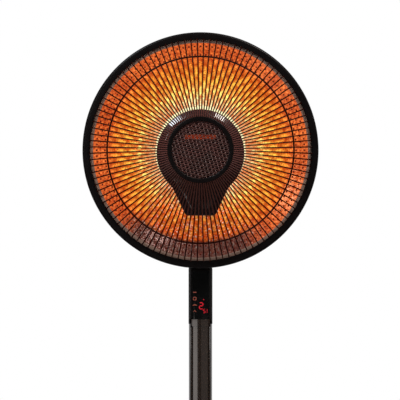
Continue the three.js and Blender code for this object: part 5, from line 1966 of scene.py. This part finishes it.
    def pole_outline(self) -> Line:
        """Draws the pole's crowned front strip between two grooves, and its round back.

        Returns:
            The outline.
        """
        w = Extent.of("lower_pole").size.x / 2
        d = Extent.of("lower_pole").high.y
        edge = -d + 1.1 * MM
        g = self.groove
        front = bow((-self.groove_at + g / 2, edge), (0, -d - 1.1 * MM), (self.groove_at - g / 2, edge), 14)
        right = [(self.groove_at - g * 0.1, edge + g), (self.groove_at + g * 0.1, edge + g)]
        curve_start = (self.groove_at + g / 2, edge + 0.4 * MM)
        right += bow(curve_start, (w - 0.6 * MM, -d + 4 * MM), (w, -d + self.pole_corner + 2 * MM), 10)
        corner = self.pole_corner
        right += arc(w - corner, d - corner, corner, np.linspace(0, math.pi / 2, 9))
        return front + right + [(-x, y) for x, y in reversed(right)]

    def pole(self, node: str) -> None:
        """Draws one length of the pole, hollow and grooved.

        Args:
            node: The CAD node that it stands for.
        """
        space = Extent.of(node)
        outer = self.pole_outline()
        tube = loft(f"{node}_tube", [level(outer, space.low.z), level(outer, space.high.z)], crease=22)
        w, d = space.size.x / 2 - self.pole_wall, space.high.y - self.pole_wall
        bore = oblong(-w, w, -space.high.y + self.pole_wall + 2 * MM, d, self.pole_corner - self.pole_wall)
        far = 5 * MM
        tools = [loft("bore", [level(bore, space.low.z - far), level(bore, space.high.z + far)])]
        if node == "upper_pole":
            low = (-self.tongue - GAP, -0.1, self.bottom - GAP)
            tools.append(block("notch", low, (self.tongue + GAP, self.tongue_back + GAP, 1)))
        combine(tube, Joining.CUT, tools, crease=22)
        self.dress(tube, Slot.POLE_METAL, [node])

    def switch(self) -> None:
        """Rounds the power switch and its bezel."""
        for node, body in (("rocker_frame", Body.COLUMN), ("power_rocker", Body.ROCKER)):
            self.dress(softened(node, 0.5 * MM, 3), Slot.BLACK_PLASTIC, [node], body=body)

    def hinge(self) -> None:
        """Rounds the hinge's bracket and nut, and turns its bolt."""
        for node, width in (("tilt_clevis", 0.8 * MM), ("tilt_nut", 0.5 * MM)):
            self.dress(softened(node, width, 3), Slot.STEEL, [node])
        space = Extent.of("tilt_bolt")
        left, right = space.low.x, space.high.x
        head, shank = space.size.z / 2, 4 * MM
        under = left + 3 * MM
        corners = [(0, left, 0), (head, left, 1.6 * MM), (head, under, 0.3 * MM)]
        corners += [(shank, under, 0), (shank, right, 0.8 * MM), (0, right, 0)]
        place = (0, space.middle.y, space.middle.z)
        bolt = lathe("tilt_bolt_turned", rounded(corners), Axis.X, place, 48)
        self.dress(bolt, Slot.STEEL, ["tilt_bolt"])

    def screws(self) -> None:
        """Sets the two screws in the housing's back."""
        nodes = ["housing_screw_1", "housing_screw_2"]
        spaces = [Extent.of(node) for node in nodes]
        deep = 1.6 * MM
        places = [(0, space.high.y - deep, space.middle.z) for space in spaces]
        screws = ScrewHeads("housing_screw_heads", head=3 * MM, height=deep, length=5 * MM, shank=1.6 * MM)
        heads = screws.build(places, (-math.pi / 2, 0, 0), self.finishes.materials[Slot.STEEL])
        self.dress(heads, Slot.STEEL, nodes)


@dataclass
class ScrewHeads:
    """Pan-head screws with a cross recess, all alike."""

    name: str
    head: float
    height: float
    length: float
    shank: float

    def build(self, places: Sequence[tuple], turn: tuple, material: Material) -> Object:
        """Builds one screw and copies it to each place.

        Args:
            places: Where the undersides of the heads lie.
            turn: How a screw whose head points up along +Z is turned.
            material: The finish.

        Returns:
            The screws, as one object.
        """
        form = Form(self.name)
        form.sizes(head=self.head, height=self.height, length=self.length, shank=self.shank)
        pan = form.out(
            "MeshCone",
            Vertices=24,
            Radius_Top=form.times(form.size("head"), 0.62),
            Radius_Bottom=form.size("head"),
            Depth=form.size("height"),
        )
        deep = form.times(form.size("height"), 1.2)
        long = form.times(form.size("head"), 1.1)
        thin = form.times(form.size("head"), 0.24)
        grooves = []
        for x, y in ((long, thin), (thin, long)):
            cube = form.out("MeshCube", Size=form.vector(x, y, deep))
            above = form.vector(0, 0, form.size("height"))
            grooves.append(form.out("Transform", Geometry=cube, Translation=above))
        cut = form.node("GeometryNodeMeshBoolean", {"Mesh 1": pan}, operation="DIFFERENCE")
        for groove in grooves:
            form.put(cut.inputs["Mesh 2"], groove)
        shank = form.out("MeshCylinder", Vertices=16, Radius=form.size("shank"), Depth=form.size("length"))
        below = form.vector(0, 0, form.times(form.size("length"), -0.499))
        shank = form.out("Transform", Geometry=shank, Translation=below)
        screw = form.together(cut.outputs[0], shank)
        pieces = []
        for place in places:
            pieces.append(form.out("Transform", Geometry=screw, Translation=place, Rotation=turn))
        return form.build(form.together(*pieces), material)


# ---- the base


@dataclass
class Base(Assembly):
    """The round weighted base with its cover, plate, feet, turntable and cord gland."""

    body = Body.BASE
    wall: float = 2.5 * MM
    collar: float = 46 * MM
    collar_hole: float = 30 * MM

    def build(self) -> None:
        """Builds every piece of the base that shows."""
        self.cover()
        self.plate()
        self.feet()
        self.turntable()
        self.gland()
        for node, slot, body in (
            ("tip_plunger", Slot.BLACK_PLASTIC, Body.PLUNGER),
            ("retaining_nut", Slot.STEEL, Body.COLUMN),
        ):
            self.dress(softened(node, 0.4 * MM), slot, [node], body=body)

    def cover(self) -> None:
        """Turns the domed cover with its collar and cuts the gland's hole."""
        space = Extent.of("base_cover")
        r, low, top = space.radius, space.low.z, space.high.z
        dome = [(r, 17 * MM, 9 * MM), (r * 0.9, 25.5 * MM, 20 * MM), (r * 0.66, 32 * MM, 30 * MM)]
        dome += [(self.collar + 14 * MM, 39.5 * MM, 12 * MM), (self.collar, 45 * MM, 5 * MM)]
        wall = self.wall
        outside = [(r, low, 0.8 * MM), *dome]
        outside += [(self.collar, top, 2.2 * MM), (self.collar_hole, top, 0.8 * MM)]
        inside = [(self.collar_hole, top - wall, 0.8 * MM), (self.collar - wall, top - wall, 0.5 * MM)]
        inside += [(x - wall * 0.6, z - wall, reach) for x, z, reach in dome[:0:-1]]
        inside += [(r - wall, 15 * MM, 8 * MM), (r - wall, low, 0.8 * MM)]
        cover = lathe("base_dome", rounded(outside + inside, steps=7), segments=160)
        hole = lathe("hole", bar(6.3 * MM, r - 20 * MM, r + 9 * MM), Axis.Y, (0, 0, 13 * MM), 32)
        combine(cover, Joining.CUT, [hole])
        self.dress(cover, Slot.BLACK_PLASTIC, ["base_cover"])

    def plate(self) -> None:
        """Stamps the bottom plate with its holes."""
        space = Extent.of("base_plate")
        r, z = space.radius, space.middle.z
        nodes = [f"base_screw_{i}" for i in (1, 2, 3, 4)]
        middles = [Extent.of(node).middle for node in nodes]
        holes = [(middle, 2.4 * MM) for middle in middles] + [(Extent.of("tip_plunger").middle, 3.6 * MM)]
        outlines = [arc(0, 0, r, np.linspace(0, 2 * math.pi, 97)[:-1])]
        for middle, radius in holes:
            outlines.append(arc(middle.x, middle.y, radius, np.linspace(0, -2 * math.pi, 17)[:-1]))
        sheet = plate("bottom_plate", outlines, space.size.z, 0.3 * MM, Matrix.Translation((0, 0, z)))
        self.dress(sheet, Slot.STEEL, ["base_plate"])
        places = [(middle.x, middle.y, space.low.z - GAP) for middle in middles]
        screws = ScrewHeads("base_screw_heads", head=3.4 * MM, height=2 * MM, length=8 * MM, shank=1.7 * MM)
        heads = screws.build(places, (math.pi, 0, 0), self.finishes.materials[Slot.STEEL])
        self.dress(heads, Slot.STEEL, nodes)

    def feet(self) -> None:
        """Turns the four rubber feet, each with a ringed tread."""
        for i in (1, 2, 3, 4):
            node = f"foot_pad_{i}"
            space = Extent.of(node)
            r, high = space.size.x / 2, space.high.z
            corners = [(0, 0.5 * MM, 0), (r - 6 * MM, 0.5 * MM, 0.3 * MM), (r - 5.6 * MM, 0, 0.3 * MM)]
            corners += [(r - 1.2 * MM, 0, 0.4 * MM), (r, 1.4 * MM, 1 * MM)]
            corners += [(r - 0.6 * MM, high, 0.4 * MM), (0, high, 0)]
            place = (space.middle.x, space.middle.y, 0)
            foot = lathe(f"{node}_rubber", rounded(corners, closed=False), Axis.Z, place, 48)
            self.dress(foot, Slot.RUBBER, [node])

    def turntable(self) -> None:
        """Turns the disc that carries the column, with the plug that the pole sits on."""
        space = Extent.of("column_foot")
        seat = 52.6 * MM
        high = seat + 8 * MM
        disc, skirt, neck = 45 * MM, 16 * MM, 8.9 * MM
        shelf, step = 33.3 * MM, 48.6 * MM
        hub = self.collar_hole - 1.5 * MM
        low, rim = space.low.z, skirt + 4 * MM
        corners = [(skirt, low, 0.3 * MM), (rim, low, 0.3 * MM), (rim, shelf, 0), (hub, shelf, 0.5 * MM)]
        corners += [(hub, seat, 0), (disc, seat, 0.6 * MM), (disc, high - 3 * MM, 2.4 * MM)]
        corners += [(disc - 4 * MM, high, 2 * MM), (neck, high, 0.3 * MM)]
        corners += [(neck, step, 0), (skirt, step, 0)]
        turntable = lathe("turntable_disc", rounded(corners), segments=120)
        half, front, back, corner, edge = 18.4 * MM, -18.2 * MM, 20.2 * MM, 8.2 * MM, 1 * MM
        outline = oblong(-half, half, front, back, corner)
        rings = [level(outline, high - 2 * MM), level(outline, space.high.z - edge)]
        top = oblong(edge - half, half - edge, front + edge, back - edge, corner - edge)
        plug = loft("plug", rings + [level(top, space.high.z)])
        combine(plug, Joining.CUT, [lathe("well", bar(13 * MM, high - 5 * MM, 0.2), segments=32)])
        combine(turntable, Joining.JOIN, [plug])
        self.dress(turntable, Slot.BLACK_PLASTIC, ["column_foot"], body=Body.COLUMN)

    def gland(self) -> None:
        """Turns the rubber gland that the cord would pass through."""
        space = Extent.of("cord_gland")
        front, back, z = space.low.y, space.high.y, space.middle.z
        bore, radius = 3.4 * MM, 6 * MM
        corners = [(bore, front, 0.3 * MM), (5.2 * MM, front, 0.5 * MM), (radius, front + 8 * MM, 1 * MM)]
        corners += [(radius, back, 0.9 * MM), (4.2 * MM, back, 0.4 * MM), (bore, back - 2.5 * MM, 0.5 * MM)]
        gland = lathe("gland_grommet", rounded(corners), Axis.Y, (0, 0, z), 48)
        self.dress(gland, Slot.RUBBER, ["cord_gland"])


# ---- the studio


@dataclass(frozen=True)
class Softbox:
    """An area light, aimed at a point of the heater."""

    name: str
    place: tuple[float, float, float]
    size: tuple[float, float]
    power: float
    aim: tuple[float, float, float] = (0.0, 0.0, 0.62)
    colour: Colour = (1.0, 1.0, 1.0)

    def hang(self) -> None:
        """Hangs the light in the scene."""
        light = bpy.data.lights.new(self.name, "AREA")
        light.shape = "RECTANGLE"
        light.size, light.size_y = self.size
        light.energy = self.power
        light.color = self.colour
        lamp = bpy.data.objects.new(self.name, light)
        lamp.location = self.place
        toward = Vector(self.aim) - Vector(self.place)
        lamp.rotation_euler = toward.to_track_quat("-Z", "Y").to_euler()
        lamp.visible_camera = False
        bpy.context.scene.collection.objects.link(lamp)


@dataclass
class Studio:
    """The camera, the lights, the pale floor and the white surroundings."""

    pixel: float = 1.70 * MM  # what one pixel of the photograph spans at the head's ring
    pixels: int = 400
    head_x: float = 200.5  # the photograph's pixel that the head's middle lies on
    head_y: float = 150.2
    distance: float = 4.0
    sensor: float = 36.0
    floor_radius: float = 5.0
    lights: tuple[Softbox, ...] = (
        Softbox("key", (-1.55, -2.2, 3.0), (1.15, 0.75), 120.0, (0.0, 0.0, 0.75), (0.86, 0.94, 1.0)),
        Softbox("top", (1.25, -2.1, 3.1), (0.7, 0.65), 116.0, (0.0, 0.0, 0.75), (1.0, 0.92, 0.84)),
        Softbox("left_card", (-0.66, -2.4, 0.12), (0.6, 0.44), 2.3, (0.0, 0.0, 0.12), (1.0, 0.93, 0.88)),
        Softbox("right_card", (0.46, -2.4, 0.12), (0.8, 0.44), 0.4, (0.0, 0.0, 0.12), (1.0, 0.86, 0.78)),
        Softbox("left_strip", (-2.2, -0.25, 1.1), (0.2, 1.7), 8.0, (0.0, 0.0, 0.7)),
        Softbox("right_strip", (2.1, -0.5, 1.1), (0.2, 1.7), 5.0, (0.0, 0.0, 0.7)),
        Softbox("side_glint", (-1.0, -2.74, 1.3), (0.2, 0.2), 6.0, (0.0, 0.0, 0.75)),
        Softbox("high_glint", (0.55, -2.7, 1.95), (0.14, 0.14), 1.8, (0.0, 0.0, 0.6)),
    )

    def build(self) -> None:
        """Sets the whole studio up."""
        scene = bpy.context.scene
        scene.view_settings.view_transform = "Standard"
        self.camera()
        self.world()
        self.floor()
        for light in self.lights:
            light.hang()

    def camera(self) -> None:
        """Sets a level camera that frames the heater as the photograph does."""
        head = Extent.of("front_ring")
        middle = self.pixels / 2
        x = (middle - self.head_x) * self.pixel
        z = head.middle.z - (middle - self.head_y) * self.pixel
        data = bpy.data.cameras.new("camera")
        data.sensor_width = self.sensor
        data.lens = self.sensor * self.distance / (self.pixels * self.pixel)
        data.clip_end = 200.0
        camera = bpy.data.objects.new("camera", data)
        camera.location = (x, head.low.y - self.distance, z)
        camera.rotation_euler = (math.pi / 2, 0, 0)
        bpy.context.scene.collection.objects.link(camera)
        bpy.context.scene.camera = camera

    def world(self) -> None:
        """Makes the surroundings white where they are seen, and dimmer ahead of the heater."""
        world = bpy.data.worlds.new("studio")
        world.use_nodes = True
        bpy.context.scene.world = world
        graph = Graph(world.node_tree)
        rays = graph.node("ShaderNodeLightPath").outputs
        seen = graph.math("MAXIMUM", rays["Is Camera Ray"], rays["Is Transmission Ray"])
        toward = graph.out("TexCoord")
        ahead = graph.node("ShaderNodeSeparateXYZ", {0: toward}).outputs[1]
        mirrored = graph.spread(ahead, 0.06, 1.0, -0.55, 0.5, Ramp.EASED)
        ambient = 0.5
        change = graph.math("SUBTRACT", mirrored, ambient)
        unseen = graph.math("MULTIPLY_ADD", rays["Is Glossy Ray"], change, ambient)
        strength = graph.math("MAXIMUM", seen, unseen)
        backdrop = graph.out("Background", Color=(1, 1, 1, 1), Strength=strength)
        graph.node("ShaderNodeOutputWorld", {"Surface": backdrop})

    def floor(self) -> None:
        """Lays a pale floor that fades to white far from the heater."""
        under = -5 * MM
        line = [(0, 0), (self.floor_radius, 0), (self.floor_radius, under), (0, under)]
        floor = lathe("floor", line)
        shader = Shader("pale_floor")
        away = shader.node("ShaderNodeVectorMath", {0: shader.place}, operation="LENGTH").outputs["Value"]
        far = shader.spread(away, 0.0, 1.0, 0.5, 2.6, Ramp.EASED)
        rays = shader.node("ShaderNodeLightPath").outputs
        depth = shader.node("ShaderNodeSeparateXYZ", {0: shader.place}).outputs[1]
        seen = shader.math("MAXIMUM", rays["Is Camera Ray"], rays["Is Transmission Ray"])
        mirrored = shader.times(rays["Is Glossy Ray"], shader.spread(away, 0.0, 1.0, 0.22, 0.5))
        strength = shader.math("MAXIMUM", seen, shader.spread(depth, 0.06, 1.0, 0.0, 1.0))
        white = shader.out("Emission", Color=(1, 1, 1, 1), Strength=strength)
        share = shader.math("MAXIMUM", shader.times(far, seen), mirrored)
        mixed = shader.node("ShaderNodeMixShader", {0: share, 1: shader.surface.outputs[0], 2: white})
        shader.set(Base_Color=(*srgb(238, 238, 238), 1), Roughness=0.7, Specular_IOR_Level=0.2)
        shader.put(shader.end.inputs["Surface"], mixed.outputs[0])
        floor.data.materials.append(shader.material)


# ---- all of it


def main() -> None:
    """Sets up the studio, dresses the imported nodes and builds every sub-assembly."""
    logging.basicConfig(level=logging.INFO, format="%(name)s: %(message)s")
    Studio().build()
    finishes = Wardrobe()
    finishes.dress_nodes()
    for part in (FrontRing, Guard, Dish, Lamp, Shield, RearShell, Column, Base):
        part(finishes).build()


if __name__ == "__main__":
    main()
